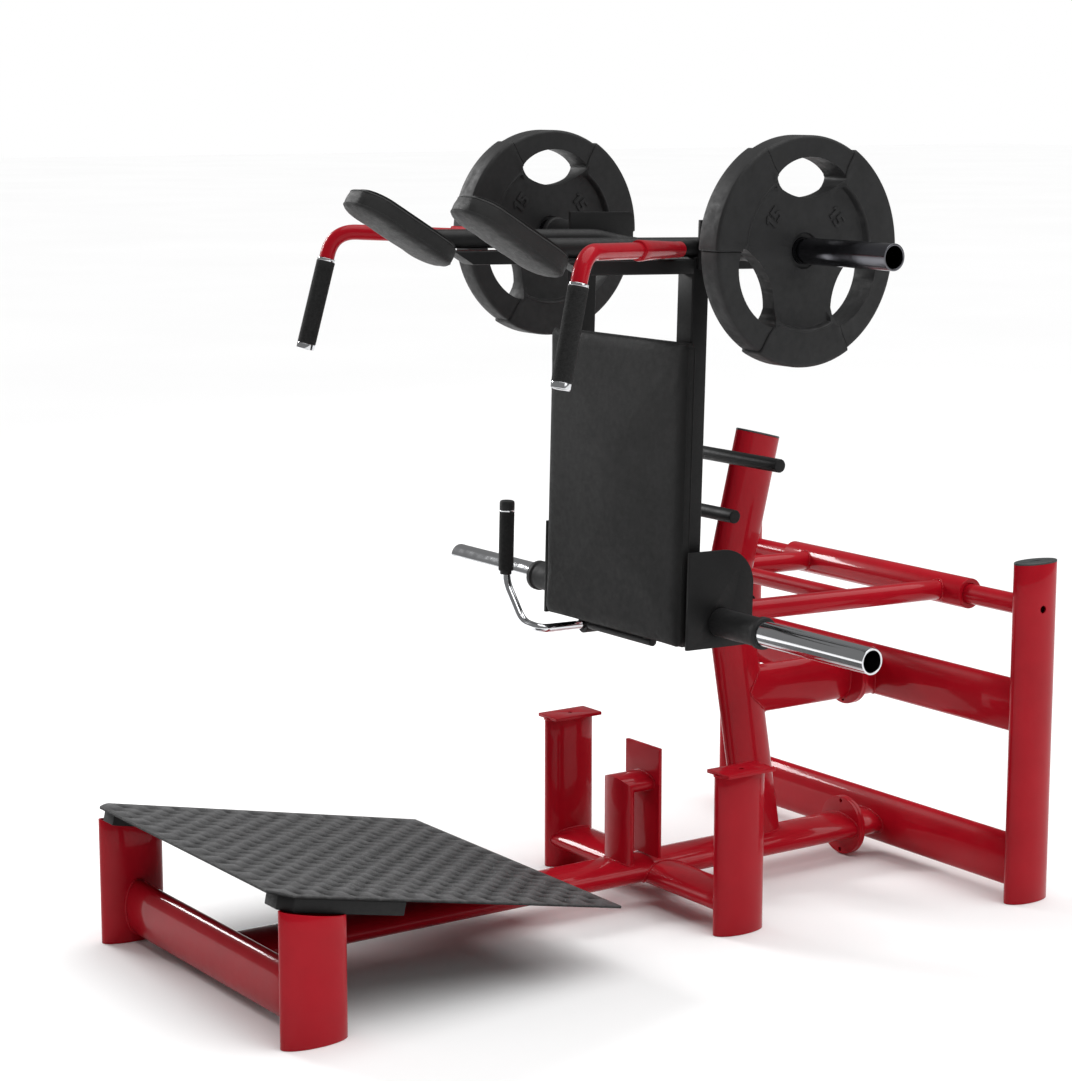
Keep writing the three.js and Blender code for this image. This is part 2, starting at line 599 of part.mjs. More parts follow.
// ---------------------------------------------------------------- catch lever
// A crank that turns in a hanger under the lower axle. Its grip is beside the user's right hip, and
// a hook on its rear end turns with it.
function catchLever(carriage) {
  const x = LEVER_X;
  const z = LEVER_Z;
  const radius = LEVER_RADIUS;
  const rear = -560;
  const front = -764;
  const gripX = -322;
  const corners = [
    new THREE.Vector3(x, rear, z),
    new THREE.Vector3(x, front, z),
    new THREE.Vector3(-255, front, z + 4),
    new THREE.Vector3(gripX, front, -4),
    new THREE.Vector3(gripX, front, 166),
  ];
  add(carriage, "catch_lever", bentBar(corners, [26, 24, 24], radius, 44, 12), CHROME);
  const gripEdge = [[radius + GAP, 0], [16, 0], [16, 146], [14, 150], [radius + GAP, 150]];
  const grip = turnedX(gripEdge).rotateY(-Math.PI / 2);
  add(carriage, "catch_lever_grip", grip, RUBBER, gripX, front, 18);

  const rodSpace = bar(radius + GAP, 200).translate(x, LOWER_HORN_Y, z);
  const axleSpace = barX(SLEEVE_RADIUS + GAP, 200).translate(x, LOWER_HORN_Y, LOWER_HORN_Z);
  const eye = bar(18, 36).translate(x, LOWER_HORN_Y, z);
  const web = box(16, 36, 60).translate(x, LOWER_HORN_Y, z + 40);
  add(carriage, "lever_hanger", cut(join(eye, web), rodSpace, axleSpace), BLACK);

  const hook = new THREE.Shape()
    .moveTo(18, 0)
    .absarc(0, 0, 18, 0, Math.PI, true)
    .lineTo(-14, 16)
    .lineTo(20, 52)
    .lineTo(58, 52)
    .lineTo(58, 38)
    .lineTo(34, 36);
  const plate = extrude(hook, 10).rotateX(Math.PI / 2).translate(x, rear - 2, z);
  add(carriage, "catch_hook", cut(plate, rodSpace), BLACK);
}

// A round bar behind the pad's lower edge, held under the lower axle by two tabs.
function lowerBar(carriage) {
  const boss = 31;
  const y = -40;
  const z = -64;
  const radius = 9;
  const shape = new THREE.Shape()
    .moveTo(boss, 0)
    .absarc(0, 0, boss, 0, Math.PI, false)
    .absarc(y, z, radius, Math.PI, 2 * Math.PI, false)
    .lineTo(24, -20);
  const tab = (x) => sidePlate(shape, 10).translate(x, 0, 0);
  const crossBar = barX(radius, 216).translate(-24, y, z);
  const axleSpace = barX(SLEEVE_RADIUS + GAP, 600);
  const lowBar = cut(join(tab(60), tab(-120), crossBar), axleSpace);
  add(carriage, "lower_bar", lowBar, BLACK, 0, LOWER_HORN_Y, LOWER_HORN_Z);
}

// ---------------------------------------------------------------- weight plates
function weightPlates(carriage) {
  const rim = 150;
  const recess = 14;
  const bevel = 6;
  const edge = 5;
  const bore = SLEEVE_RADIUS + 0.7;
  const mouth = 33;
  const profile = [
    [bore, recess + 6],
    [mouth, recess + 6],
    [mouth, recess],
    [rim - bevel, recess],
    [rim, 0],
    [DISC_RADIUS - edge, 0],
    [DISC_RADIUS, edge],
    [DISC_RADIUS, DISC_THICK - edge],
    [DISC_RADIUS - edge, DISC_THICK],
    [rim, DISC_THICK],
    [rim - bevel, DISC_THICK - recess],
    [mouth, DISC_THICK - recess],
    [mouth, DISC_THICK - recess - 6],
    [bore, DISC_THICK - recess - 6],
  ];
  const points = profile.map(([radius, along]) => new THREE.Vector2(radius, along));
  const disc = () => new THREE.LatheGeometry([...points, points[0]], 48).rotateZ(-Math.PI / 2);
  for (const { name, sign } of SIDES) {
    const hole = (third) => gripHole(DISC_THICK + 20).rotateX(third * TAU / 3).translate(-10, 0, 0);
    const holes = [hole(0), hole(1), hole(2)];
    const x = sign > 0 ? COLLAR_END + 0.6 : -COLLAR_END - 0.6 - DISC_THICK;
    add(carriage, `weight_plate_${name}`, cut(disc(), ...holes), RUBBER, x, UPPER_HORN_Y, UPPER_HORN_Z);
  }
}

// A lens-shaped hand hole above the hub, bounded above and below by the same arc.
function gripHole(length) {
  const halfWidth = 87;
  const halfHeight = 38;
  const middle = 136.5;
  const radius = (halfWidth ** 2 + halfHeight ** 2) / (2 * halfHeight);
  const reach = Math.asin(halfWidth / radius);
  const offset = radius - halfHeight;
  const shape = new THREE.Shape()
    .moveTo(halfWidth, middle)
    .absarc(0, middle - offset, radius, Math.PI / 2 - reach, Math.PI / 2 + reach, false)
    .absarc(0, middle + offset, radius, 1.5 * Math.PI - reach, 1.5 * Math.PI + reach, false);
  return new THREE.ExtrudeGeometry(shape, { depth: length, bevelEnabled: false, curveSegments: 10 })
    .rotateX(Math.PI / 2)
    .rotateZ(Math.PI / 2);
}

// ---------------------------------------------------------------- assembly
const frame = new THREE.Group();
spine(frame);
rearFrame(frame);
middleFrame(frame);
stopStub(frame);
column(frame);
catchPegs(frame);
frontFrame(frame);

const carriage = new THREE.Group();
carriage.position.z = PIVOT_HEIGHT;
carriage.rotation.x = -CARRIAGE_LEAN;
frame.add(carriage);
swingArms(carriage);
carriageFrame(carriage);
shoulderPads(carriage);
backPad(carriage);
horns(carriage);
handles(carriage);
catchLever(carriage);
lowerBar(carriage);
weightPlates(carriage);

const machine = new THREE.Group();
machine.add(frame);
frame.updateMatrixWorld(true);
const bounds = new THREE.Box3().setFromObject(frame, true);
frame.position.y = -(bounds.min.y + bounds.max.y) / 2;

export default machine;
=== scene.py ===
import math

import bmesh
import bpy
from mathutils import Matrix, Vector
from mathutils.bvhtree import BVHTree


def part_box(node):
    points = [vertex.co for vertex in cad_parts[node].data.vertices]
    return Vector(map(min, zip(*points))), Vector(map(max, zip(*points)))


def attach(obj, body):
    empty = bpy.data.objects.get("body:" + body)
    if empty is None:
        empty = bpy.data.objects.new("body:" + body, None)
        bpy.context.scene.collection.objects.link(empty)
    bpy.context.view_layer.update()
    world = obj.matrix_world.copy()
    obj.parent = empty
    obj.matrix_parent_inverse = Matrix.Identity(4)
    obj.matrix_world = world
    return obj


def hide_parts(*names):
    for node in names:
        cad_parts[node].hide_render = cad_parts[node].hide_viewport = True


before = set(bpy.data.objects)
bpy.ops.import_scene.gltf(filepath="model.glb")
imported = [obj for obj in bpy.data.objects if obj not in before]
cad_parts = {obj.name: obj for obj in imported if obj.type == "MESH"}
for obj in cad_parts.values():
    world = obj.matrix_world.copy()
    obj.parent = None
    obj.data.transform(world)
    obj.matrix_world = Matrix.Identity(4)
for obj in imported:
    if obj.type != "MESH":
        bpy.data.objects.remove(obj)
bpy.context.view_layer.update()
scene = bpy.context.scene
TAU = 2 * math.pi
SIDES = (("left", 1), ("right", -1))

# Sizes in millimetres, in the frame's own design space: Y is 0 at the rear posts.
REAR_X, REAR_H = 470, 710
MID_X, MID_Y, MID_TOP = 292, -621, 333
FRONT_X, FRONT_Y = 358, -1632
LOW_BEAM_Z, HIGH_BEAM_Z, MID_BEAM_Z, FRONT_BEAM_Z = 75, 404, 60, 70
OVAL_T, OVAL_L = 52, 112  # across and along the oval posts
MID_OVAL_L = 120
FRONT_OVAL_T, FRONT_OVAL_L = 54, 134
SPINE_Z, SPINE_W, SPINE_T, SPINE_END = 66, 120, 54, -88
STRUT_W, STRUT_T = 51.4, 104
COLUMN_FOOT = Vector((0, -331, 92))
COLUMN_KNEE = Vector((0, -424, 633))
COLUMN_TOP = Vector((0, -346, 949))
PLATFORM_Y, PLATFORM_Z, PLATFORM_TILT = -1708, 287, math.radians(11.65)
BRACKET_LOW = -32.3  # the underside of the platform's brackets
SHAFT_R = 21
WALL = 3
SINK = 0.4  # how far a tube's end goes into the skin that it meets
AXIS_R = 0.01  # where a solid turned profile starts, next to its axis

# The carriage's own space leans with it, and its origin is on the pivot shaft.
ARM_X, ARM_R, HUB_R, CROSS_TUBE_Y = 214, 21, 32, -265
SHOULDER_X, SHOULDER_Y, SHOULDER_Z, SHOULDER_TILT = 192, -1109.5, 760, math.radians(29.6)
RAIL_Z = 722
HORN_LOW = (-637.7, -11)  # (Y, Z) of the lower and the upper sleeves' axes
HORN_HIGH = (-615, 726)
HORN_R, HORN_BORE = 25, 21
TIP = 691
LEVER_X, LEVER_Z, LEVER_R = -190, -86, 9
PLATE_X, PLATE_THICK, PLATE_R, PLATE_RIM = 384.6, 62, 219, 150
PLATE_WEB = 14  # the depth of the plate's sunk web


# ---- places, taken from the frame
def centre(node):
    low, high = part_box(node)
    return (low + high) / 2


REAR_Y = centre("rear_post_left").y
PIVOT_Z = centre("pivot_shaft").z
SHAFT_Z = PIVOT_Z * 1000
MM = Matrix.Scale(0.001, 4)
LEAN = Matrix.Rotation(math.radians(-1.5), 4, "X")
BASE = Matrix.Translation((0, REAR_Y, 0)) @ MM
CARRIAGE = Matrix.Translation((0, REAR_Y, PIVOT_Z)) @ LEAN @ MM
PLATFORM = BASE @ Matrix.Translation((0, PLATFORM_Y, PLATFORM_Z))
PLATFORM = PLATFORM @ Matrix.Rotation(-PLATFORM_TILT, 4, "X")


# ---- materials
NOISE_RANGE = (0.3, 0.7)  # nearly all values of a noise texture lie in it


class Paint:
    """A principled material whose colour, roughness and bump come from its own nodes."""

    def __init__(self, name, roughness, metallic=0.0, **sockets):
        self.m = bpy.data.materials.new(name)
        self.m.use_nodes = True
        self.n = self.m.node_tree.nodes
        self.n.clear()
        sockets = {key.replace("_", " "): value for key, value in sockets.items()}
        self.b = self.node("BsdfPrincipled", Roughness=roughness, Metallic=metallic, **sockets)
        self.join(self.b.outputs[0], self.node("OutputMaterial").inputs[0])
        self.place = self.node("TexCoord").outputs["Object"]
        self.normal = None

    def join(self, a, b):
        self.m.node_tree.links.new(a, b)

    def node(self, kind, **values):
        """A new node with values on its own sockets."""
        node = self.n.new("ShaderNode" + kind)
        for key, value in values.items():
            node.inputs[key].default_value = value
        return node

    def noise(self, scale, detail, rough=0.55, stretch=None):
        tex = self.node("TexNoise", Scale=scale, Detail=detail, Roughness=rough)
        place = self.place
        if stretch:
            mapping = self.node("Mapping", Scale=stretch)
            self.join(place, mapping.inputs["Vector"])
            place = mapping.outputs[0]
        self.join(place, tex.inputs["Vector"])
        return tex.outputs["Fac"]

    def cells(self, scale, feature="F1"):
        tex = self.node("TexVoronoi", Scale=scale)
        tex.feature = feature
        self.join(self.place, tex.inputs["Vector"])
        return tex.outputs["Distance"]

    def layer(self, name):
        """A value that the mesh keeps for each of its points."""
        node = self.node("Attribute")
        node.attribute_name = name
        return node.outputs["Fac"]

    def spread(self, value, low, high, to_low, to_high):
        node = self.node("MapRange")
        for i, v in enumerate((low, high, to_low, to_high)):
            node.inputs[i + 1].default_value = v
        self.join(value, node.inputs[0])
        return node.outputs[0]

    def sum(self, a, b):
        node = self.node("Math")
        node.operation = "ADD"
        self.join(a, node.inputs[0])
        self.join(b, node.inputs[1])
        return node.outputs[0]

    def colour(self, value, stops):
        ramp = self.node("ValToRGB")
        while len(ramp.color_ramp.elements) < len(stops):
            ramp.color_ramp.elements.new(0.5)
        for element, (at, rgb) in zip(ramp.color_ramp.elements, stops):
            element.position = at
            element.color = (*rgb, 1)
        self.join(value, ramp.inputs[0])
        self.join(ramp.outputs[0], self.b.inputs["Base Color"])

    def mottled(self, scale, detail, dark, light):
        """A colour that drifts between two shades."""
        low, high = NOISE_RANGE
        self.colour(self.noise(scale, detail), [(low, dark), (high, light)])

    def rough(self, scale, detail, least, most):
        """A roughness that drifts between two values."""
        varied = self.spread(self.noise(scale, detail), *NOISE_RANGE, least, most)
        self.join(varied, self.b.inputs["Roughness"])

    def bump(self, height, distance, strength):
        node = self.node("Bump", Distance=distance, Strength=strength)
        self.join(height, node.inputs["Height"])
        if self.normal:
            self.join(self.normal, node.inputs["Normal"])
        self.normal = node.outputs[0]
        self.join(self.normal, self.b.inputs["Normal"])


def red_paint():
    p = Paint("red_paint", 0.42, Coat_Weight=0.55, Coat_Roughness=0.06, Coat_IOR=1.3,
              Specular_IOR_Level=0.06)
    p.mottled(9, 4, (0.34, 0.0033, 0.0105), (0.4, 0.0047, 0.0135))
    p.rough(60, 4, 0.3, 0.4)
    p.bump(p.noise(420, 2), 0.0001, 0.25)
    return p.m


def grainy(name, roughness, specular, mottle, rough, grain, depth, strength):
    """A plain material of two close shades with a fine grain."""
    p = Paint(name, roughness, Specular_IOR_Level=specular)
    p.mottled(*mottle)
    p.rough(*rough)
    p.bump(p.noise(*grain), depth, strength)
    return p.m


def vinyl(name, shade, gloss):
    p = Paint(name, 0.55, Specular_IOR_Level=gloss)
    p.mottled(11, 5, (0.66 * shade,) * 3, (shade,) * 3)
    grain = p.cells(620, "DISTANCE_TO_EDGE")
    fine = p.noise(1500, 2)
    p.rough(90, 3, 0.48, 0.62)
    p.bump(p.spread(grain, 0, 0.12, 0, 1), 0.00022, 0.5)
    p.bump(fine, 0.0001, 0.4)
    return p.m


def grip_foam():
    p = Paint("grip_foam", 0.8, Specular_IOR_Level=0.22)
    p.mottled(160, 3, (0.014, 0.014, 0.014), (0.022, 0.022, 0.022))
    p.rough(300, 2, 0.72, 0.88)
    p.bump(p.cells(900), 0.0004, 0.5)
    return p.m


def chrome(name, shade, least, most):
    p = Paint(name, 0.08, 1.0)
    p.mottled(6, 4, tuple(0.93 * c for c in shade), shade)
    p.rough(50, 5, least, most)
    p.bump(p.noise(25, 2), 0.0002, 0.06)
    return p.m


def tread_steel():
    """Steel worn bright on its peaks, with painted shade in its pits: the mesh's height is 0 in a
    pit and 1 on a peak.
    """
    p = Paint("tread_steel", 0.5, 0.35, Specular_IOR_Level=0.4)
    wear_and_pit_shade = p.sum(p.layer("height"), p.spread(p.noise(60, 5), *NOISE_RANGE, -0.18, 0.18))
    # The colour runs from near black in the pits, which is painted shade, to lighter on the peaks,
    # which is wear.
    pit, flank, peak = (0.006, 0.006, 0.006), (0.062, 0.062, 0.063), (0.15, 0.15, 0.152)
    p.colour(wear_and_pit_shade, [(0.0, pit), (0.38, flank), (1.0, peak)])
    p.rough(110, 4, 0.4, 0.6)
    p.bump(p.noise(150, 4, 0.7, (0.35, 1.6, 1)), 0.0016, 0.5)
    p.bump(p.noise(800, 3), 0.0002, 0.35)
    return p.m


RED = red_paint()
BLACK = grainy("black_paint", 0.5, 0.22,
               (14, 4, (0.0065, 0.0065, 0.0067), (0.0098, 0.0098, 0.01)),
               (130, 3, 0.42, 0.56), (1100, 2), 0.00012, 0.35)
VINYL = vinyl("vinyl", 0.0145, 0.14)
# The shoulder pads use the back pad's vinyl painted lighter, which stands in for the floor's light
# on their undersides.
SHOULDER_VINYL_PAINTED_LIGHT = vinyl("shoulder_vinyl_painted_light", 0.026, 0.22)
RUBBER = grainy("black_rubber", 0.6, 0.3,
                (18, 5, (0.0115, 0.0115, 0.0118), (0.0175, 0.0175, 0.018)),
                (70, 4, 0.5, 0.68), (900, 3), 0.00025, 0.4)
GRIP = grip_foam()
PLASTIC = grainy("grey_plastic", 0.42, 0.4,
                 (30, 3, (0.032, 0.036, 0.037), (0.045, 0.05, 0.051)),
                 (200, 3, 0.36, 0.5), (1400, 2), 0.0001, 0.35)
CHROME = chrome("chrome", (0.76, 0.77, 0.79), 0.05, 0.12)
DARK_CHROME = chrome("dark_chrome", (0.15, 0.15, 0.165), 0.15, 0.24)
TREAD = tread_steel()


# ---- mesh helpers
def loft(bm, rings, wrap=False):
    """Joins rings of points to a skin. The ends are closed, or with wrap they meet."""
    rows = [[bm.verts.new(p) for p in ring] for ring in rings]
    count = len(rows[0])
    pairs = list(zip(rows, rows[1:])) + ([(rows[-1], rows[0])] if wrap else [])
    for a, b in pairs:
        for i in range(count):
            j = (i + 1) % count
            bm.faces.new((a[i], a[j], b[j], b[i]))
    if not wrap:
        bm.faces.new(rows[0][::-1])
        bm.faces.new(rows[-1])


def body_mesh(*parts):
    """A bmesh of several closed skins, each given as (rings, wrap)."""
    bm = bmesh.new()
    for rings, wrap in parts:
        loft(bm, rings, wrap)
    bmesh.ops.recalc_face_normals(bm, faces=bm.faces)
    return bm


def smooth(mesh, angle):
    for polygon in mesh.polygons:
        polygon.use_smooth = True
    mesh.set_sharp_from_angle(angle=math.radians(angle))


def bake(piece):
    """Applies every modifier."""
    if not piece.modifiers:
        return
    graph = bpy.context.evaluated_depsgraph_get()
    mesh = bpy.data.meshes.new_from_object(piece.evaluated_get(graph))
    piece.modifiers.clear()
    piece.data = mesh


def put(name, bm, place, material, body, nodes=None, bevel=0.0, angle=35, holes=(), within=None):
    """Makes a piece from a bmesh in millimetres. It cuts the holes, keeps what is inside within,
    rounds the edges, moves the piece to its place, smooths it and gives it to its body. The piece
    stands for the nodes, or else for the CAD node of its own name, if there is one."""
    mesh = bpy.data.meshes.new(name)
    bm.to_mesh(mesh)
    bm.free()
    piece = bpy.data.objects.new(name, mesh)
    scene.collection.objects.link(piece)
    tools = []
    for tool in list(holes) + ([within] if within else []):
        cutter = bpy.data.objects.new("cutter", bpy.data.meshes.new("cutter"))
        tool.to_mesh(cutter.data)
        tool.free()
        scene.collection.objects.link(cutter)
        tools.append(cutter)
        boolean = piece.modifiers.new("hole", "BOOLEAN")
        boolean.object = cutter
        boolean.solver = "EXACT"
        boolean.operation = "INTERSECT" if tool is within else "DIFFERENCE"
    if bevel:
        round_edges = piece.modifiers.new("edges", "BEVEL")
        round_edges.width = bevel
        round_edges.segments = 2
        round_edges.limit_method = "ANGLE"
        round_edges.angle_limit = math.radians(40)
        round_edges.use_clamp_overlap = True
    bake(piece)
    for cutter in tools:
        bpy.data.objects.remove(cutter)
    piece.data.transform(place)
    piece.data.materials.clear()
    piece.data.materials.append(material)
    smooth(piece.data, angle)
    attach(piece, body)
    if nodes is None:
        nodes = [name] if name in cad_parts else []
    if nodes:
        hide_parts(*nodes)
    return piece


def fixed(name, *parts, **options):
    """A red piece of the base, from the rings of its skins."""
    put(name, body_mesh(*parts), BASE, RED, "base", **options)


def carried(name, material, *parts, **options):
    """A piece of the carriage, from the rings of its skins."""
    put(name, body_mesh(*parts), CARRIAGE, material, "carriage", **options)


def ellipse(width, depth, count=80):
    turns = [TAU * i / count for i in range(count)]
    return [(width / 2 * math.cos(t), depth / 2 * math.sin(t)) for t in turns]


def rounded_rectangle(width, depth, corner, steps=5):
    points = []
    for sx, sy, start in ((1, 1, 0), (-1, 1, 0.25), (-1, -1, 0.5), (1, -1, 0.75)):
        cx, cy = sx * (width / 2 - corner), sy * (depth / 2 - corner)
        for i in range(steps + 1):
            a = TAU * (start + 0.25 * i / steps)
            points.append((cx + corner * math.cos(a), cy + corner * math.sin(a)))
    return points


def arc(cx, cy, radius, start, end, steps):
    turns = [math.radians(start + (end - start) * i / steps) for i in range(steps + 1)]
    return [(cx + radius * math.cos(t), cy + radius * math.sin(t)) for t in turns]


def root(value):
    return math.sqrt(max(0.0, value))


def oval_reach(width, depth, off):
    """How far an oval's skin is from its middle along its width, at a distance off the middle."""
    return width / 2 * root(1 - (off / (depth / 2)) ** 2)


def grown(section, by):
    """The section moved out by a distance, along its own normals."""
    count = len(section)
    out = []
    for i, (x, y) in enumerate(section):
        (x0, y0), (x1, y1) = section[i - 1], section[(i + 1) % count]
        tx, ty = x1 - x0, y1 - y0
        size = math.hypot(tx, ty) or 1
        out.append((x + by * ty / size, y - by * tx / size))
    return out


AXES = {
    "x": lambda a, b, t: Vector((t, a, b)),
    "y": lambda a, b, t: Vector((a, t, b)),
    "z": lambda a, b, t: Vector((a, b, t)),
}


def placed(section, axis, at, where, shift=0.0):
    """The section's points in space. where is their place along the axis, or a function for it."""
    reach = where if callable(where) else (lambda a, b: where)
    point = AXES[axis]
    return [point(at[0] + a, at[1] + b, reach(a, b) + shift) for a, b in section]


def straight(section, start, end, axis, at=(0, 0), wall=WALL, edge=0.8, stations=6):
    """Rings of a straight tube, or of a solid bar with no wall. start and end are as in placed."""
    begin = start if callable(start) else (lambda a, b: start)
    finish = end if callable(end) else (lambda a, b: end)

    def ring(sect, where, shift):
        return placed(sect, axis, at, where, shift)

    def between(share):
        return ring(section, lambda a, b: begin(a, b) * (1 - share) + finish(a, b) * share, 0)

    slim, eased = grown(section, -edge), grown(section, -0.3 * edge)
    rings = [ring(slim, begin, 0), ring(eased, begin, 0.3 * edge), ring(section, begin, edge)]
    rings += [between(i / stations) for i in range(1, stations)]
    rings += [ring(section, finish, -edge), ring(eased, finish, -0.3 * edge)]
    rings += [ring(slim, finish, 0)]
    if wall:
        inner = grown(section, -wall)
        rings += [ring(inner, finish, 0), ring(inner, begin, 0)]
    return rings, bool(wall)


def path_frames(points, closed):
    """(point, side, up) along a path, without twist."""
    count = len(points)
    frames = []
    up = None
    for i, p in enumerate(points):
        a = points[(i - 1) % count] if closed or i else p
        b = points[(i + 1) % count] if closed or i < count - 1 else p
        along = (b - a).normalized()
        if up is None:
            up = along.orthogonal().normalized()
        side = along.cross(up)
        if side.length < 1e-6:
            side = along.orthogonal()
        side.normalize()
        up = side.cross(along).normalized()
        frames.append((p, side, up))
    return frames


def pipe(points, radius, sides, closed=False):
    """Rings of a round rod through points. radius is a number or a list with one for each."""
    radii = radius if isinstance(radius, list) else [radius] * len(points)
    turn = [(math.cos(TAU * k / sides), math.sin(TAU * k / sides)) for k in range(sides)]
    spots = zip(path_frames(points, closed), radii)
    return [[p + r * (c * side + s * up) for c, s in turn] for (p, side, up), r in spots], closed


def curve(a, corner, b, t):
    """A point on the smooth bend from a to b round a corner."""
    return a * (1 - t) ** 2 + corner * 2 * t * (1 - t) + b * t * t


def bent(corners, bends, step):
    """Points along a path of straight runs joined by smooth bends."""
    corners = [Vector(c) for c in corners]
    points = [corners[0]]

    def run(a, b):
        count = max(1, int((b - a).length / step))
        points.extend(a.lerp(b, (i + 1) / count) for i in range(count))

    start = corners[0]
    for before, c, after, bend in zip(corners, corners[1:], corners[2:], bends):
        back = c + (before - c).normalized() * bend
        ahead = c + (after - c).normalized() * bend
        run(start, back)
        count = max(5, int(bend / 2.5))
        points.extend(curve(back, c, ahead, k / count) for k in range(1, count + 1))
        start = ahead
    run(start, corners[-1])
    return points


def evenly(points, step):
    """A closed path's points spaced evenly."""
    loop = list(points) + [points[0]]
    lengths = [0.0]
    for a, b in zip(loop, loop[1:]):
        lengths.append(lengths[-1] + (b - a).length)
    count = max(8, int(lengths[-1] / step))
    out = []
    k = 0
    for i in range(count):
        d = lengths[-1] * i / count
        while lengths[k + 1] < d:
            k += 1
        share = (d - lengths[k]) / max(1e-9, lengths[k + 1] - lengths[k])
        out.append(loop[k].lerp(loop[k + 1], share))
    return out


def bead(points, radius):
    """Rings of a weld bead round a joint: a rope of small overlapping beads."""
    path = evenly(points, 1.4)
    radii = [radius * (1 + 0.14 * math.sin(TAU * i / 3.7) + 0.08 * math.sin(i * 0.37))
             for i in range(len(path))]
    return pipe(path, radii, 8, True)


def turned(profile, axis, at=(0, 0), sides=64, closed=True):
    """Rings of a round part from (radius, place) corners."""
    turns = [TAU * i / sides for i in range(sides)]
    rings = []
    for radius, place in profile:
        circle = [(radius * math.cos(t), radius * math.sin(t)) for t in turns]
        rings.append(placed(circle, axis, at, place))
    return rings, closed


def softened(profile, size=1.0, steps=3, closed=True):
    """The profile with its corners rounded, apart from the ends of an open one."""
    out = []
    count = len(profile)
    for i, (r, z) in enumerate(profile):
        if not closed and i in (0, count - 1):
            out.append((r, z))
            continue
        here = Vector((r, z))
        to_before = Vector(profile[i - 1]) - here
        to_after = Vector(profile[(i + 1) % count]) - here
        reach = min(size, 0.45 * to_before.length, 0.45 * to_after.length)
        a = here + to_before.normalized() * reach
        b = here + to_after.normalized() * reach
        out += [tuple(curve(a, here, b, k / steps)) for k in range(steps + 1)]
    return out


def slab(outline, low, high, axis):
    """Rings of a flat plate from its outline, across the axis."""
    return [placed(outline, axis, (0, 0), low), placed(outline, axis, (0, 0), high)], False


def peg(radius, start, end, axis, at=(0, 0), sides=32):
    """A bmesh of a plain round bar, to cut a hole with."""
    return body_mesh(turned([(radius, start), (radius, end)], axis, at, sides, False))


def ribbed(start, length, count, radius):
    """The corners of a grip's fine ribs, half a millimetre high."""
    corners = []
    step = length / count
    for i in range(count):
        at = start + length * i / count
        corners += [(radius, at), (radius, at + 0.55 * step)]
        corners += [(radius - 0.5, at + 0.7 * step), (radius - 0.5, at + 0.9 * step)]
    return corners


BASE_BEADS = []
CARRIAGE_BEADS = []
THICK_BEAD, THIN_BEAD = 2.6, 2.2


def weld(points, radius=THICK_BEAD):
    BASE_BEADS.append(bead(points, radius))


# ---- base frame
def to_post(x, sign, post_width=OVAL_T, post_long=OVAL_L):
    """Where a beam's wall meets an oval post at x, from the side that sign points away from."""
    return lambda y, z: x - sign * (oval_reach(post_width, post_long, y) - SINK)


def crossbeam(name, ends, y, z, tall, deep):
    """An oval tube across the machine, welded at both ends."""
    section = ellipse(deep, tall)
    tube = straight(section, *ends, "x", (y, z), WALL, 0.5, 8)
    fixed(name, tube)
    for end in ends:
        weld(placed(section, "x", (y, z), end))


def flange(name, y0, y1, z):
    """A round joining plate across the Y axis, with a bolt hole above and below."""
    radius, bolt_radius, bolt_off, past = 64, 4.5, 55, 9
    profile = softened([(AXIS_R, y0), (radius, y0), (radius, y1), (AXIS_R, y1)], closed=False)
    holes = [peg(bolt_radius, y0 - past, y1 + past, "y", (0, bolt_z), 24)
             for bolt_z in (z - bolt_off, z + bolt_off)]
    fixed(name, turned(profile, "y", (0, z), 72, False), holes=holes)


def rear_frame():
    for name, z, stub_z, width, tall in (
        ("lower_rear_crossbeam", LOW_BEAM_Z, SPINE_Z, SPINE_W, SPINE_T),
        ("upper_rear_crossbeam", HIGH_BEAM_Z, HIGH_BEAM_Z, STRUT_W, STRUT_T),
    ):
        flange(f"{name}_flange", SPINE_END + 0.2, SPINE_END + 8.3, stub_z)
        section = ellipse(width, tall, 64)

        def beam_front(a, b):
            return -oval_reach(OVAL_T, OVAL_L, b + stub_z - z) + 1.5

        at = (0, stub_z)
        stub = straight(section, SPINE_END + 7, beam_front, "y", at, 0, 0.2, 2)
        weld(placed(section, "y", at, beam_front, -1.2))
        weld(placed(section, "y", at, SPINE_END + 8.6), THIN_BEAD)
        fixed(f"{name}_stub", stub)
        ends = to_post(-REAR_X, -1), to_post(REAR_X, 1)
        crossbeam(name, ends, 0, z, OVAL_L, OVAL_T)
    for side, sign in SIDES:
        x = sign * REAR_X
        post = straight(ellipse(OVAL_T, OVAL_L, 96), 0, REAR_H, "z", (x, 0), WALL, 0.8, 10)
        hole = peg(8, x + sign * 10, x + sign * 40, "x", (0, SHAFT_Z), 40)
        fixed(f"rear_post_{side}", post, holes=[hole])
        oval_cap(f"rear_post_cap_{side}", BASE @ Matrix.Translation((x, 0, REAR_H + 0.2)))
        joint = []
        for t in (TAU * i / 60 for i in range(60)):
            skin = oval_reach(OVAL_T, OVAL_L, SHAFT_R * math.cos(t)) + 0.3
            y, z = 21.6 * math.cos(t), SHAFT_Z + 21.6 * math.sin(t)
            joint.append(Vector((x - sign * skin, y, z)))
        weld(joint, 2.0)
    reach = REAR_X - OVAL_T / 2 + 0.6
    shaft = [(SHAFT_R, x) for x in (-reach, -300, 300, reach)]
    shaft = turned(shaft, "x", (0, SHAFT_Z), 64, False)
    fixed("pivot_shaft", shaft)


def oval_cap(name, place):
    """A moulded end cap: a shallow dome with a lip round its edge."""
    shape = ellipse(OVAL_T, OVAL_L, 96)
    rim = [(0, 0.0), (0, 2.2), (-0.5, 3.2), (-1.6, 3.7), (-3.4, 3.8)]
    dome = [(-4.2, 3.2), (-5.5, 3.1), (-14, 3.6), (-24, 3.9)]
    rings = [placed(grown(shape, inset), "z", (0, 0), z) for inset, z in rim + dome]
    put(name, body_mesh((rings, False)), place, PLASTIC, "base", angle=50)


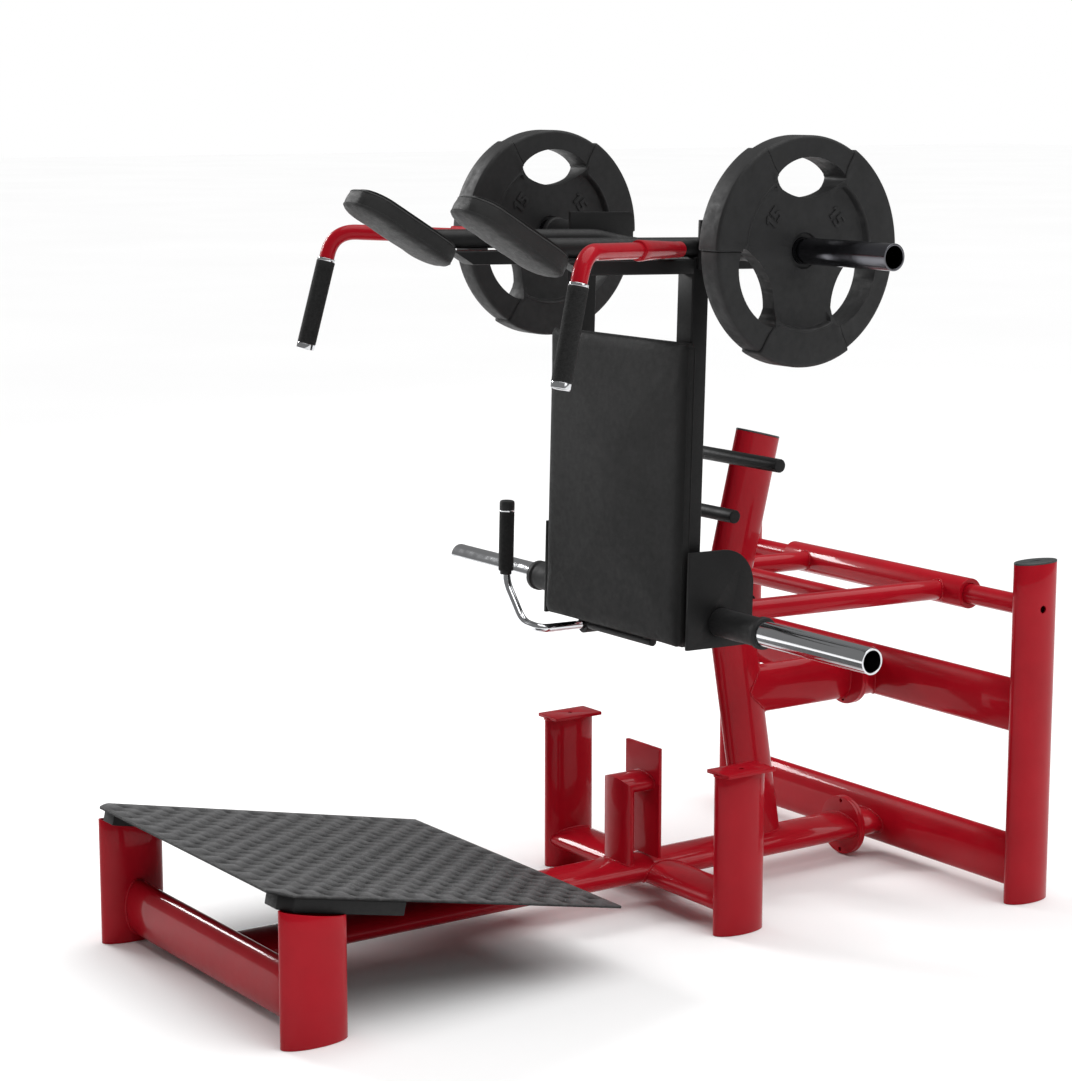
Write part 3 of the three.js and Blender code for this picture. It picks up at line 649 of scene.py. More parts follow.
def spine():
    def front(a, b):
        return FRONT_Y + oval_reach(OVAL_T, OVAL_L, b + SPINE_Z - FRONT_BEAM_Z) - SINK

    at = (0, SPINE_Z)
    section = ellipse(SPINE_W, SPINE_T, 96)
    tube = straight(section, front, SPINE_END - 6, "y", at, WALL, 0.5, 14)
    flange("spine_flange", SPINE_END - 8, SPINE_END - 0.1, SPINE_Z)
    fixed("spine", tube)
    weld(placed(section, "y", at, front))
    weld(placed(section, "y", at, SPINE_END - 8.4), THIN_BEAD)


def middle_frame():
    for side, sign in SIDES:
        x = sign * MID_X

        def inward(a, b):
            return sign * (oval_reach(SPINE_W, SPINE_T, MID_BEAM_Z + b - SPINE_Z) - SINK)

        outward = to_post(x, sign, OVAL_T, MID_OVAL_L)
        ends = (inward, outward) if sign > 0 else (outward, inward)
        crossbeam(f"mid_crossbeam_{side}", ends, MID_Y, MID_BEAM_Z, 48, 110)
        section = ellipse(OVAL_T, MID_OVAL_L, 96)
        post = straight(section, 0, MID_TOP - 6.5, "z", (x, MID_Y), WALL, 0.6, 6)
        top_y = MID_Y + 4
        top = [(x + a, top_y + b) for a, b in rounded_rectangle(70, 120, 3)]
        top = slab(top, MID_TOP - 7, MID_TOP, "z")
        hole = peg(5, MID_TOP - 20, MID_TOP + 20, "z", (x, top_y))
        fixed(f"mid_post_{side}", post, nodes=())
        nodes = [f"mid_post_{side}"]
        fixed(f"mid_post_top_{side}", top, nodes=nodes, bevel=0.9, holes=[hole])
        joint = placed(ellipse(OVAL_T, MID_OVAL_L), "z", (x, MID_Y), MID_TOP - 7.4)
        weld(joint, THIN_BEAD)


def spine_top(a):
    """Where the foot of a part on the spine ends, at a distance from the spine's middle."""
    return SPINE_Z + oval_reach(SPINE_T, SPINE_W, a) - 0.3


def stop_stub():
    """The short post with a mitred elbow, and the plate that it ends in."""
    y, elbow, plate_y = -700, 250, -642
    section = ellipse(86, 40, 72)
    foot = [Vector((a, y + b, spine_top(a))) for a, b in section]
    rings = [foot] + [placed(section, "z", (0, y), z) for z in (110, 150, 190)]
    rings.append([Vector((a, y + b, elbow - b - 3)) for a, b in section])
    rings.append([Vector((a, y + b * 0.985, elbow - b * 0.985)) for a, b in section])
    rings.append([Vector((a, y + b + 3, elbow - b)) for a, b in section])
    for along in (y + 30, y + 45, plate_y):
        rings.append([Vector((a, along, elbow - b)) for a, b in section])
    fixed("stop_stub", (rings, False), angle=30)
    weld(foot)
    weld(placed(section, "y", (0, elbow), plate_y - 0.4), THIN_BEAD)
    plate = slab([(a, 211 + b) for a, b in rounded_rectangle(114, 232, 2)], plate_y, -634, "y")
    fixed("stop_plate", plate, bevel=0.9)


def column():
    """The kinked column on the spine, its cap, and the strut behind it."""
    section = ellipse(OVAL_T, OVAL_L, 96)
    low = (COLUMN_KNEE - COLUMN_FOOT).normalized()
    high = (COLUMN_TOP - COLUMN_KNEE).normalized()
    low_side = Vector((0, low.z, -low.y))
    high_side = Vector((0, high.z, -high.y))
    mitre = (low + high).normalized()

    def foot(a, b):
        p = COLUMN_FOOT + Vector((a, 0, 0)) + low_side * b
        return p + low * ((spine_top(a) - p.z) / low.z)

    def knee(a, b):
        p = COLUMN_KNEE + Vector((a, 0, 0)) + low_side * b
        return p - low * ((p - COLUMN_KNEE).dot(mitre) / low.dot(mitre))

    def head(sect):
        return [COLUMN_TOP + Vector((a, 0, 0)) + high_side * b for a, b in sect]

    first = [foot(a, b) for a, b in section]
    bend = [knee(a, b) for a, b in section]
    top = head(section)
    rings = [first]
    rings += [[p.lerp(q, t) for p, q in zip(first, bend)] for t in (0.2, 0.4, 0.6, 0.8, 0.93)]
    rings += [[p - low * 4 for p in bend], bend, [p + high * 4 for p in bend]]
    rings += [[p.lerp(q, t) for p, q in zip(bend, top)] for t in (0.1, 0.4, 0.7)]
    rings += [[p - high * 0.8 for p in top], head(grown(section, -0.8))]
    fixed("column", (rings, False))
    weld(first)
    turn = Matrix.Rotation(-math.atan2(high.y, high.z), 4, "X")
    place = BASE @ Matrix.Translation(COLUMN_TOP) @ turn @ Matrix.Translation((0, 0, 0.2))
    oval_cap("column_cap", place)

    def front(a, b):
        rise = HIGH_BEAM_Z + b - COLUMN_FOOT.z
        middle = COLUMN_FOOT.y + rise * low.y / low.z
        return middle + oval_reach(OVAL_L, OVAL_T, a) / low.z - SINK

    at = (0, HIGH_BEAM_Z)
    strut = ellipse(STRUT_W, STRUT_T, 96)
    tube = straight(strut, front, SPINE_END - 6, "y", at, 0, 0.4, 4)
    flange("column_strut_flange", SPINE_END - 8, SPINE_END - 0.1, HIGH_BEAM_Z)
    fixed("column_strut", tube)
    weld(placed(strut, "y", at, front), THIN_BEAD)
    weld(placed(strut, "y", at, SPINE_END - 8.4), THIN_BEAD)


def catch_pegs():
    radius, tip = 14, 30
    for name, half, at in (
        ("catch_peg_upper", 184, (-438, 910)),
        ("catch_peg_middle", 78, (-467, 795)),
        ("catch_peg_lower", 176, (-504, 639)),
    ):
        profile = [(AXIS_R, -half), (radius, -half), (radius, -half + tip)]
        profile += [(radius, half - tip), (radius, half), (AXIS_R, half)]
        rings = turned(softened(profile, 2.2, 4, False), "x", at, 48, False)
        put(name, body_mesh(rings), BASE, BLACK, "base")


def platform():
    half, length, chamfer = 367, 758, 35
    outline = [(-half, chamfer), (-half + chamfer, 0), (half - chamfer, 0), (half, chamfer)]
    outline += [(half, length), (-half, length)]
    low, rise = -4.6, 7.2
    plate = pyramids(half, length, 24, 26, 6, low, rise)
    border = body_mesh(slab(outline, -20, 20, "z"))
    tread = put("tread_plate", plate, PLATFORM, TREAD, "base", angle=40, within=border)
    back = PLATFORM.inverted()
    layer = tread.data.attributes.new("height", "FLOAT", "POINT")
    for i, v in enumerate(tread.data.vertices):
        layer.data[i].value = ((back @ v.co).z - low) / rise

    def under_bracket(a, b):
        down = BRACKET_LOW - 0.3 - (FRONT_Y + b - PLATFORM_Y) * math.sin(PLATFORM_TILT)
        return PLATFORM_Z + down / math.cos(PLATFORM_TILT) + 0.2

    for side, sign in SIDES:
        shape = ((-34, 18), (8, 18), (30, 40), (30, 272), (-34, 272))
        shape = [(sign * (336 + a), b) for a, b in shape]
        bm = body_mesh(slab(shape, BRACKET_LOW, -6.2, "z"))
        put(f"platform_bracket_{side}", bm, PLATFORM, BLACK, "base", bevel=2.0)
        section = ellipse(FRONT_OVAL_T, FRONT_OVAL_L, 96)
        at = (sign * FRONT_X, FRONT_Y)
        post = straight(section, 0, under_bracket, "z", at, WALL, 0.6, 5)
        fixed(f"front_post_{side}", post)
    oval = FRONT_OVAL_T, FRONT_OVAL_L
    ends = to_post(-FRONT_X, -1, *oval), to_post(FRONT_X, 1, *oval)
    crossbeam("front_crossbeam", ends, FRONT_Y, FRONT_BEAM_Z, OVAL_L, OVAL_T)


def pyramids(half, length, columns, rows, thick, low_z, rise):
    """A plate whose upper face is all low peaks and pits by turns, with saddles between them."""
    bm = bmesh.new()

    def height(i, j):
        if i in (0, columns) or j in (0, rows):
            return -1.0
        return low_z + (rise if (i + j) % 2 == 0 else 0)

    spots = [(i, j) for j in range(rows + 1) for i in range(columns + 1)]
    flat = [(-half + 2 * half * i / columns, length * j / rows) for i, j in spots]
    top = [bm.verts.new((*p, height(i, j))) for p, (i, j) in zip(flat, spots)]
    low = [bm.verts.new((*p, -thick)) for p in flat]
    saddle = {}
    for j in range(rows):
        for i in range(columns):
            x, y = (i + 0.5) * 2 * half / columns - half, (j + 0.5) * length / rows
            saddle[i, j] = bm.verts.new((x, y, low_z + 0.6 * rise))
    wide = columns + 1
    for j in range(rows):
        for i in range(columns):
            k = j * wide + i
            a, b, c, d = k, k + 1, k + 1 + wide, k + wide
            bm.faces.new([low[n] for n in (d, c, b, a)])
            for m, n in ((a, b), (b, c), (c, d), (d, a)):
                bm.faces.new((top[m], top[n], saddle[i, j]))
    rim = list(range(columns)) + [columns + wide * j for j in range(rows)]
    rim += [wide * rows + i for i in range(columns, 0, -1)] + [wide * j for j in range(rows, 0, -1)]
    for a, b in zip(rim, rim[1:] + rim[:1]):
        bm.faces.new((top[a], low[a], low[b], top[b]))
    bmesh.ops.recalc_face_normals(bm, faces=bm.faces)
    return bm


# ---- carriage
def swing_arms():
    bore, ends, land = 21.3, 285, 263
    hub = [(bore, -ends), (HUB_R, -ends), (HUB_R, ends), (bore, ends)]
    hub += [(bore, land), (27, land), (27, -land), (bore, -land)]
    carried("pivot_hub", RED, turned(softened(hub, 1.4), "x", (0, 0), 72))

    def rear(a, b):
        return -root(HUB_R ** 2 - b * b) + 0.5

    def front(a, b):
        return HORN_LOW[0] + root(25.2 ** 2 - min(25.0, abs(b - HORN_LOW[1])) ** 2)

    def cope(a, b):
        return ARM_X - root(ARM_R ** 2 - b * b) + SINK

    for side, sign in SIDES:
        at = (sign * ARM_X, 0)
        section = ellipse(2 * ARM_R, 2 * ARM_R, 64)
        tube = straight(section, front, rear, "y", at, WALL, 0.4, 8)
        carried(f"swing_arm_{side}", RED, tube)
        CARRIAGE_BEADS.append(bead(placed(section, "y", at, rear, -0.6), THICK_BEAD))
        joint = []
        for t in (TAU * i / 60 for i in range(60)):
            y, z = CROSS_TUBE_Y + 17 * math.cos(t), 17 * math.sin(t)
            joint.append(Vector((sign * (ARM_X - root(ARM_R ** 2 - z ** 2) + 0.2), y, z)))
        CARRIAGE_BEADS.append(bead(joint, 2.0))
    section = ellipse(34, 34, 64)
    start = lambda a, b: -cope(a, b)
    tube = straight(section, start, cope, "x", (CROSS_TUBE_Y, 0), WALL, 0.4, 6)
    carried("arm_cross_tube", RED, tube)


def bracket(name, x0, x1, front, rear, low, high, corner, holes=()):
    """A plate of the carriage's side with one rounded corner, at the top of its rear edge."""
    outline = [(front, low), (front, high)]
    outline += arc(rear - corner, high - corner, corner, 90, 0, 14) + [(rear, low)]
    carried(name, BLACK, slab(outline, x0, x1, "x"), bevel=1.2, holes=holes)


def carriage_frame():
    for side, sign in SIDES:
        at = (sign * 185, -683)
        tube = straight(rounded_rectangle(50, 40, 4.5), -62, 702.7, "z", at, WALL, 0.5, 4)
        carried(f"upright_{side}", BLACK, tube)
        x0, x1 = sorted((sign * 237, sign * 245))
        hole = peg(25.2, x0 - 10, x1 + 10, "x", HORN_LOW, 48)
        bracket(f"lower_bracket_{side}", x0, x1, -718, -555, -62, 132, 74, [hole])
        x0, x1 = sorted((sign * 211.3, sign * 219.3))
        bracket(f"upper_bracket_{side}", x0, x1, -696, -534, 680, 775, 12)
    front_y = SHOULDER_Y + (RAIL_Z - SHOULDER_Z - 3) / -math.tan(SHOULDER_TILT)
    half = [(SHOULDER_X, front_y, RAIL_Z), (SHOULDER_X, -648, RAIL_Z), (SHOULDER_X, -553, 704)]
    corners = half + [(-x, y, z) for x, y, z in reversed(half)]
    rail = pipe(bent(corners, [20, 60, 60, 20], 12), 19, 40)
    carried("top_rail", BLACK, rail, angle=45)


def on_slope(x):
    """The space of a shoulder pad's underside, at a distance across the machine."""
    slope = Matrix.Rotation(-SHOULDER_TILT, 4, "X")
    return CARRIAGE @ Matrix.Translation((x, SHOULDER_Y, SHOULDER_Z)) @ slope


def shoulder_arms():
    arm_z = 685

    def front(a, b):
        return SHOULDER_Y + (SHOULDER_Z - (arm_z + b)) / math.tan(SHOULDER_TILT) - 4

    for side, sign in SIDES:
        x = sign * SHOULDER_X
        tube = straight(rounded_rectangle(40, 28, 3.5), front, -703.4, "y", (x, arm_z), 0, 0.5, 4)
        carried(f"shoulder_arm_{side}", BLACK, tube)
        plate = slab([(a, 6 + b) for a, b in rounded_rectangle(100, 232, 46, 10)], 0, 5, "z")
        bm = body_mesh(plate)
        put(f"shoulder_plate_{side}", bm, on_slope(x), BLACK, "carriage", bevel=1.0)


def pad_form(width, length, side, crown, corner, power):
    """A cushion on Z = 0: straight sides, rounded shoulders and a crown of four soft slopes."""
    bm = bmesh.new()
    border = rounded_rectangle(width, length, corner, 10)
    rings = [placed(grown(border, -1.5), "z", (0, 0), 0.0)]
    rings += [placed(border, "z", (0, 0), z) for z in (1.5, side * 0.5, side - 3)]
    for inset, z in ((0.5, side - 1), (2.0, side + 0.8), (5.0, side + 2.4)):
        rings.append(placed(grown(border, -inset), "z", (0, 0), z))
    inner_w, inner_l = width - 10, length - 10
    reach = min(inner_w, inner_l) / 2
    steps = 13
    for t in (k / steps for k in range(1, steps)):
        z = side + 2.4 + (crown - 2.4) * (1 - (1 - t) ** power)
        wide, long = inner_w - 2 * reach * t * 0.98, inner_l - 2 * reach * t * 0.98
        shape = rounded_rectangle(wide, long, max(0.5, (corner - 5) * (1 - t)), 10)
        rings.append(placed(shape, "z", (0, 0), z))
    loft(bm, rings)
    bmesh.ops.recalc_face_normals(bm, faces=bm.faces)
    return bm


def filled(piece, cap):
    """Fills the piece with the cloth solver. No point moves more than cap metres or sinks."""
    before = [v.co.copy() for v in piece.data.vertices]
    cloth = piece.modifiers.new("fill", "CLOTH")
    cloth.settings.use_pressure = True
    cloth.settings.uniform_pressure_force = 4
    cloth.settings.effector_weights.gravity = 0
    cloth.settings.quality = 5
    for f in range(1, 21):
        scene.frame_set(f)
    bake(piece)
    scene.frame_set(1)
    for v, p in zip(piece.data.vertices, before):
        move = v.co - p
        if move.length > cap:
            move *= cap / move.length
        if p.z < 0.002:
            move.z = max(0, move.z)
        v.co = p + move


def padded(name, bm, place, cap, seams, voxel, cover):
    """Makes a pad from its form in millimetres, with its seams as raised piping on its skin."""
    mesh = bpy.data.meshes.new(name)
    bm.to_mesh(mesh)
    bm.free()
    mesh.transform(MM)
    piece = bpy.data.objects.new(name, mesh)
    scene.collection.objects.link(piece)
    remesh = piece.modifiers.new("even", "REMESH")
    remesh.mode = "VOXEL"
    remesh.voxel_size = voxel * 0.001
    bake(piece)
    filled(piece, cap * 0.001)
    relax = piece.modifiers.new("relax", "SMOOTH")
    relax.iterations = 3
    relax.factor = 0.5
    finer = piece.modifiers.new("finer", "SUBSURF")
    finer.levels = 1
    bake(piece)
    mesh = piece.data
    faces = [tuple(f.vertices) for f in mesh.polygons]
    skin = BVHTree.FromPolygons([v.co for v in mesh.vertices], faces)
    rows = [[1000 * skin.find_nearest(0.001 * p)[0] for p in row] for row in seams]
    rows = [pipe(row, 1.15, 8, True) for row in rows]
    mesh.transform(place @ Matrix.Scale(1000, 4))
    mesh.materials.clear()
    mesh.materials.append(cover)
    smooth(mesh, 60)
    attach(piece, "carriage")
    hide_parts(name)
    put(f"{name}_seam", body_mesh(*rows), place, cover, "carriage", angle=60)


def seam(width, length, corner, z):
    """A row of points round a pad at a height, a little outside it."""
    outline = rounded_rectangle(width + 6, length + 6, corner + 3, 12)
    return evenly(placed(outline, "z", (0, 0), z), 4.0)


def pads():
    wide, long, corner = 463, 602, 12
    upright = Matrix.Rotation(math.radians(90), 4, "X")
    place = CARRIAGE @ Matrix.Translation((0, -703.3, 240.5)) @ upright
    form = pad_form(wide, long, 21, 13, corner, 1.08)
    seams = [seam(wide, long, corner, z) for z in (21.0, 2.0)]
    padded("back_pad", form, place, 4, seams, 5.0, VINYL)
    wide, long, corner = 128, 253, 56
    face_down = Matrix.Translation((0, 0, -0.3)) @ Matrix.Rotation(math.pi, 4, "X")
    for side, sign in SIDES:
        under = on_slope(sign * SHOULDER_X) @ face_down
        form = pad_form(wide, long, 34, 7, corner, 2.2)
        seams = [seam(wide, long, corner, z) for z in (33.0, 2.0)]
        padded(f"shoulder_pad_{side}", form, under, 3, seams, 4.0, SHOULDER_VINYL_PAINTED_LIGHT)


def horns():
    """The weight sleeves and their collars."""
    def collar(start):
        neck = [(25.1, start), (28.5, start), (28.5, 370)]
        return neck + [(32, 372), (32, 382), (30, 384), (25.1, 384)]

    def tube(start, end, sign=1):
        profile = [(HORN_BORE, start), (HORN_R, start), (HORN_R, end), (HORN_BORE, end)]
        return [(r, sign * x) for r, x in softened(profile, 0.9)]

    for side, sign in SIDES:
        for level, at, start in (("lower", HORN_LOW, 245.3), ("upper", HORN_HIGH, 219.6)):
            profile = [(r, sign * x) for r, x in softened(collar(start))]
            carried(f"{level}_collar_{side}", RUBBER, turned(profile, "x", at))
        sleeve = turned(tube(219.6, 680, sign), "x", HORN_HIGH, 72)
        carried(f"upper_sleeve_{side}", DARK_CHROME, sleeve)
    carried("lower_axle", CHROME, turned(tube(-TIP, TIP), "x", HORN_LOW, 72))


def handles():
    rod_r, ring_start, grip_start, end_gap = 15.5, 56, 62, 12
    for side, sign in SIDES:
        base = Vector((sign * 217, -745, 719))
        bend = Vector((sign * 437, -1127, 727))
        end = Vector((sign * 451, -1182, 488))
        path = bent([base, bend, end], [48], 10)
        direction = (bend - base).normalized()
        down = (end - bend).normalized()
        length = (end - bend).length
        start = base - direction * 6
        socket = [start + direction * t for t in (0, 1.5, 6, 60, 120, 180, 203, 207, 208.5)]
        radii = [12.0, 13.6, 14.8, 16.2, 17.8, 19.4, 20.0, 19.2, 15.6]
        rod, _ = pipe(path[:-1] + [end - down * end_gap], rod_r, 40)
        carried(f"handle_{side}", RED, (rod, False), pipe(socket, radii, 40), angle=45)

        turn = Vector((0, 0, 1)).rotation_difference(down).to_matrix().to_4x4()
        along_rod = Matrix.Translation(bend) @ turn

        def fitted(name, profile, material, angle=35, closed=True):
            """Puts a round part on the handle's straight end, measured from its bend."""
            rings, _ = turned(profile, "z", (0, 0), 48)
            rings = [[along_rod @ p for p in ring] for ring in rings]
            carried(f"handle_{name}_{side}", material, (rings, closed), angle=angle)

        grip_end = length - end_gap
        inner = 15.6
        grip = [(inner, grip_start), (18.0, grip_start), (19.0, 63.5)]
        grip += ribbed(66, grip_end - 70, 58, 19.0)
        grip += [(19.0, grip_end - 2), (18.0, grip_end), (inner, grip_end)]
        fitted("grip", grip, GRIP, 45)
        ring = [(inner, ring_start), (18.2, ring_start), (18.2, 61.8), (inner, 61.8)]
        fitted("ring", softened(ring, 0.8), CHROME)
        ring = [(14.5, length - 11.8), (18.4, length - 11.8), (18.4, length - 0.8)]
        ring += [(17.6, length), (16.6, length), (14.5, length - 3)]
        fitted("end_ring", softened(ring, 0.6), CHROME)
        plug = [(14.6, 11.5), (14.6, 2.5), (13.5, 1.4), (4, 1.2)]
        plug = [(r, length - z) for r, z in plug]
        fitted("plug", plug, RUBBER, closed=False)


def catch_lever():
    """The lever with its grip and fittings, and the hook at its hidden end."""
    front, grip_x = -764, -322
    corners = [(LEVER_X, -560, LEVER_Z), (LEVER_X, front, LEVER_Z), (-255, front, LEVER_Z + 4)]
    corners += [(grip_x, front, -4), (grip_x, front, 160)]
    rod = body_mesh(pipe(bent(corners, [26, 24, 24], 8), LEVER_R, 32))
    put("catch_lever", rod, CARRIAGE, CHROME, "catch_lever", angle=45)

    def fitted(name, profile, material, angle=35, sides=48, closed=True):
        bm = body_mesh(turned(profile, "z", (grip_x, front), sides, closed))
        put(f"catch_lever_{name}", bm, CARRIAGE, material, "catch_lever", angle=angle)

    bore = LEVER_R + 0.1
    grip = [(bore, 18), (15, 18), (16, 19.5)] + ribbed(22, 118, 44, 16)
    grip += [(16, 141), (16, 144), (bore, 144)]
    fitted("grip", grip, GRIP, 45)
    ring = [(bore, 144.2), (16.3, 144.2), (16.3, 147.4), (bore, 147.4)]
    fitted("ring", softened(ring, 0.6), CHROME)
    cap = [(bore, 147.6), (15.4, 147.6), (16, 149), (16, 162), (15, 165.5), (12, 167.4), (4, 168)]
    fitted("cap", cap, RUBBER, closed=False)
    sleeve = [(bore, 10), (12, 10), (12.6, 17.8), (bore, 17.8)]
    fitted("sleeve", softened(sleeve, 0.8), RUBBER, sides=40)
    hook = [(18, 0)] + arc(0, 0, 18, 0, -180, 24)[1:]
    hook += [(-14, 16), (20, 52), (58, 52), (58, 38), (34, 36)]
    hook = body_mesh(slab([(LEVER_X + a, LEVER_Z + b) for a, b in hook], -572, -562, "y"))
    hole = peg(bore, -600, -540, "y", (LEVER_X, LEVER_Z))
    put("catch_hook", hook, CARRIAGE, BLACK, "catch_lever", bevel=1.0, holes=[hole])


def plain_parts():
    """The lever's hanger under the axle, and the round bar behind the pad with its two tabs."""
    rear = HORN_LOW[0]
    eye = [(9.3, rear - 18), (18, rear - 18), (18, rear + 18), (9.3, rear + 18)]
    eye = turned(softened(eye, 1.2), "y", (LEVER_X, LEVER_Z), 48)
    web = [(LEVER_X + a, rear + b) for a, b in rounded_rectangle(16, 36, 3)]
    web = slab(web, LEVER_Z + 14, LEVER_Z + 54, "z")
    carried("lever_hanger", BLACK, eye, web)
    bar_y, bar_z, bar_r = -40, -64, 9  # from the axle
    bar = [(AXIS_R, -132), (bar_r, -132), (bar_r, -100), (bar_r, 50), (bar_r, 84), (AXIS_R, 84)]
    at = (HORN_LOW[0] + bar_y, HORN_LOW[1] + bar_z)
    carried("lower_bar", BLACK, turned(softened(bar, 2.5, 4, False), "x", at, 40, False))
    outline = arc(0, 0, 31, 0, 180, 24) + arc(bar_y, bar_z, bar_r, 180, 360, 12) + [(24, -20)]
    outline = [(HORN_LOW[0] + a, HORN_LOW[1] + b) for a, b in outline]
    for side, x in (("left", 60), ("right", -120)):
        hole = peg(25.2, x - 20, x + 30, "x", HORN_LOW, 48)
        tab = slab(outline, x, x + 10, "x")
        carried(f"lower_bar_tab_{side}", BLACK, tab, bevel=1.0, holes=[hole])


# ---- weight plates
def lens():
    """A hand hole's outline: a lens with blunt tips."""
    half_w, half_h, middle, count = 84, 38, 136.5, 60
    out = []
    for t in (TAU * (i + 0.5) / count for i in range(count)):
        rise = math.copysign(abs(math.sin(t)) ** 1.5, math.sin(t))
        out.append((half_w * math.cos(t), middle + half_h * rise))
    return out


SECTOR_BORDERS = [60 * k for k in range(6)]


def hole_sector(angle, reach=30):
    """Whether the sector at an angle holds a hand hole. The others stand proud."""
    c = (angle - 90) % 120
    return min(c, 120 - c) < reach


def groove(angle):
    """How deep the groove between two sectors is at an angle, from 0 to 1."""
    d = min(abs((angle - b + 180) % 360 - 180) for b in SECTOR_BORDERS)
    return 1.0 if d < 0.2 else (0.5 if d < 0.45 else 0.0)


def plate_profile():
    """(radius, place across the plate, share of the sectors' relief) from bore to rim to bore."""
    web, rim, outer = PLATE_WEB, PLATE_RIM, PLATE_R
    half = [
        (25.7, 20, 0), (30, 20, 0), (32.6, 19, 0), (33, 15.5, 0), (34.5, web, 0),
        (70, 14.2, 0), (105, 14.2, 0), (rim - 9, web, 0), (rim - 6, 12.5, 0),
        (rim - 3.4, 2.8, 0.4), (rim - 2.2, 0.9, 0.7), (rim - 0.6, 0, 1), (rim + 1.2, 0.2, 1),
        (rim + 2.4, 1.2, 1), (rim + 6, 1.3, 1), (180, 0.9, 1), (outer - 8, 0.9, 1),
        (outer - 5, 1.4, 1), (outer - 2.2, 3.0, 1), (outer - 0.6, 5.6, 1), (outer, 9, 1),
    ]
    other = [(r, PLATE_THICK - x, w) for r, x, w in reversed(half)]
    return half + [(outer, 22, 1), (outer, 40, 1)] + other


def plate_point(r, x, weight, angle):
    """A point of the left plate's skin. By a hand hole the step up to the rim is an easy slope."""
    face = PLATE_THICK - 9
    sunk = weight if hole_sector(angle) else 0.0
    cut = groove(angle) * weight * (1 if r > PLATE_RIM else 0)
    inward = 1 if x < PLATE_THICK / 2 else -1
    depth = inward * (2.4 * sunk + 1.3 * cut) if x < 9 or x > face else 0
    along = x
    reach = r - (4.5 * sunk + 1.2 * cut if r > 190 else 0)
    if abs(r - PLATE_RIM) < 10 and hole_sector(angle, 34):
        t = (r - PLATE_RIM + 9) / 11.4
        reach = 128 + 27 * t
        along = PLATE_WEB - 12.8 * t
        if x >= PLATE_THICK / 2:
            along = PLATE_THICK - PLATE_WEB + 12.8 * t
    a = math.radians(angle)
    y, z = HORN_HIGH[0] + reach * math.cos(a), HORN_HIGH[1] + reach * math.sin(a)
    return Vector((PLATE_X + along + depth, y, z))


def weight_plates():
    angles = []
    for a in SECTOR_BORDERS:
        angles += [a - 0.55, a - 0.4, a - 0.12, a + 0.12, a + 0.4, a + 0.55]
        angles += [a + 0.55 + 58.9 * i / 26 for i in range(1, 26)]
    left = [[plate_point(r, x, w, angle) for angle in angles] for r, x, w in plate_profile()]
    for side, sign in SIDES:
        rings = [[Vector((sign * p.x, p.y, p.z)) for p in ring] for ring in left]
        holes = []
        for third in range(3):
            turn = Matrix.Rotation(third * TAU / 3, 4, "X")
            turn = Matrix.Translation((0, *HORN_HIGH)) @ turn
            flat = [turn @ Vector((0, a, b)) for a, b in lens()]
            ends = [[Vector((sign * x, p.y, p.z)) for p in flat] for x in (360, 490)]
            holes.append(body_mesh((ends, False)))
        name, body, plate = f"weight_plate_{side}", f"plate_{side}", body_mesh((rings, True))
        put(name, plate, CARRIAGE, RUBBER, body, bevel=1.6, angle=32, holes=holes)
        numerals(side, sign)


def numerals(side, sign):
    """A raised 15 on either side above the hub, on the outer face and on the inner one."""
    one = [(-14, -14), (-7, -14), (-7, 14), (-12, 14), (-20, 7), (-20, 1), (-14, 5)]
    five = [(17, 14), (-2, 14), (-2, -3), (10, -3), (10, -8), (-2, -8), (-2, -14)]
    five += [(12, -14), (17, -9), (17, -2), (12, 3), (5, 3), (5, 8), (17, 8)]
    sunk = PLATE_WEB + 0.1
    faces = ("outer", PLATE_X + PLATE_THICK - sunk, 1), ("inner", PLATE_X + sunk, -1)
    for face, x, facing in faces:
        for spot, angle in (("front", 51), ("rear", -51)):
            outward = sign * facing
            stand = Matrix(((0, 0, outward, 0), (outward, 0, 0, 0), (0, 1, 0, 0), (0, 0, 0, 1)))
            place = CARRIAGE @ Matrix.Translation((sign * x, *HORN_HIGH))
            place = place @ Matrix.Rotation(math.radians(angle), 4, "X")
            place = place @ Matrix.Translation((0, 0, 99)) @ stand
            bm = body_mesh(slab(one, -1, 2.2, "z"), slab(five, -1, 2.2, "z"))
            name = f"numerals_{side}_{face}_{spot}"
            put(name, bm, place, RUBBER, f"plate_{side}", bevel=0.7, angle=30)


# ---- studio
def pale_floor():
    size = 60
    corners = [(-size, -size, 0), (size, -size, 0), (size, size, 0), (-size, size, 0)]
    floor = bpy.data.meshes.new("floor")
    floor.from_pydata(corners, [], [(0, 1, 2, 3)])
    ground = bpy.data.objects.new("floor", floor)
    ground.location.z = -0.0005
    scene.collection.objects.link(ground)
    p = Paint("floor", 0.85, Specular_IOR_Level=0.1)
    p.mottled(0.4, 2, (0.89, 0.89, 0.89), (0.91, 0.91, 0.91))
    floor.materials.append(p.m)


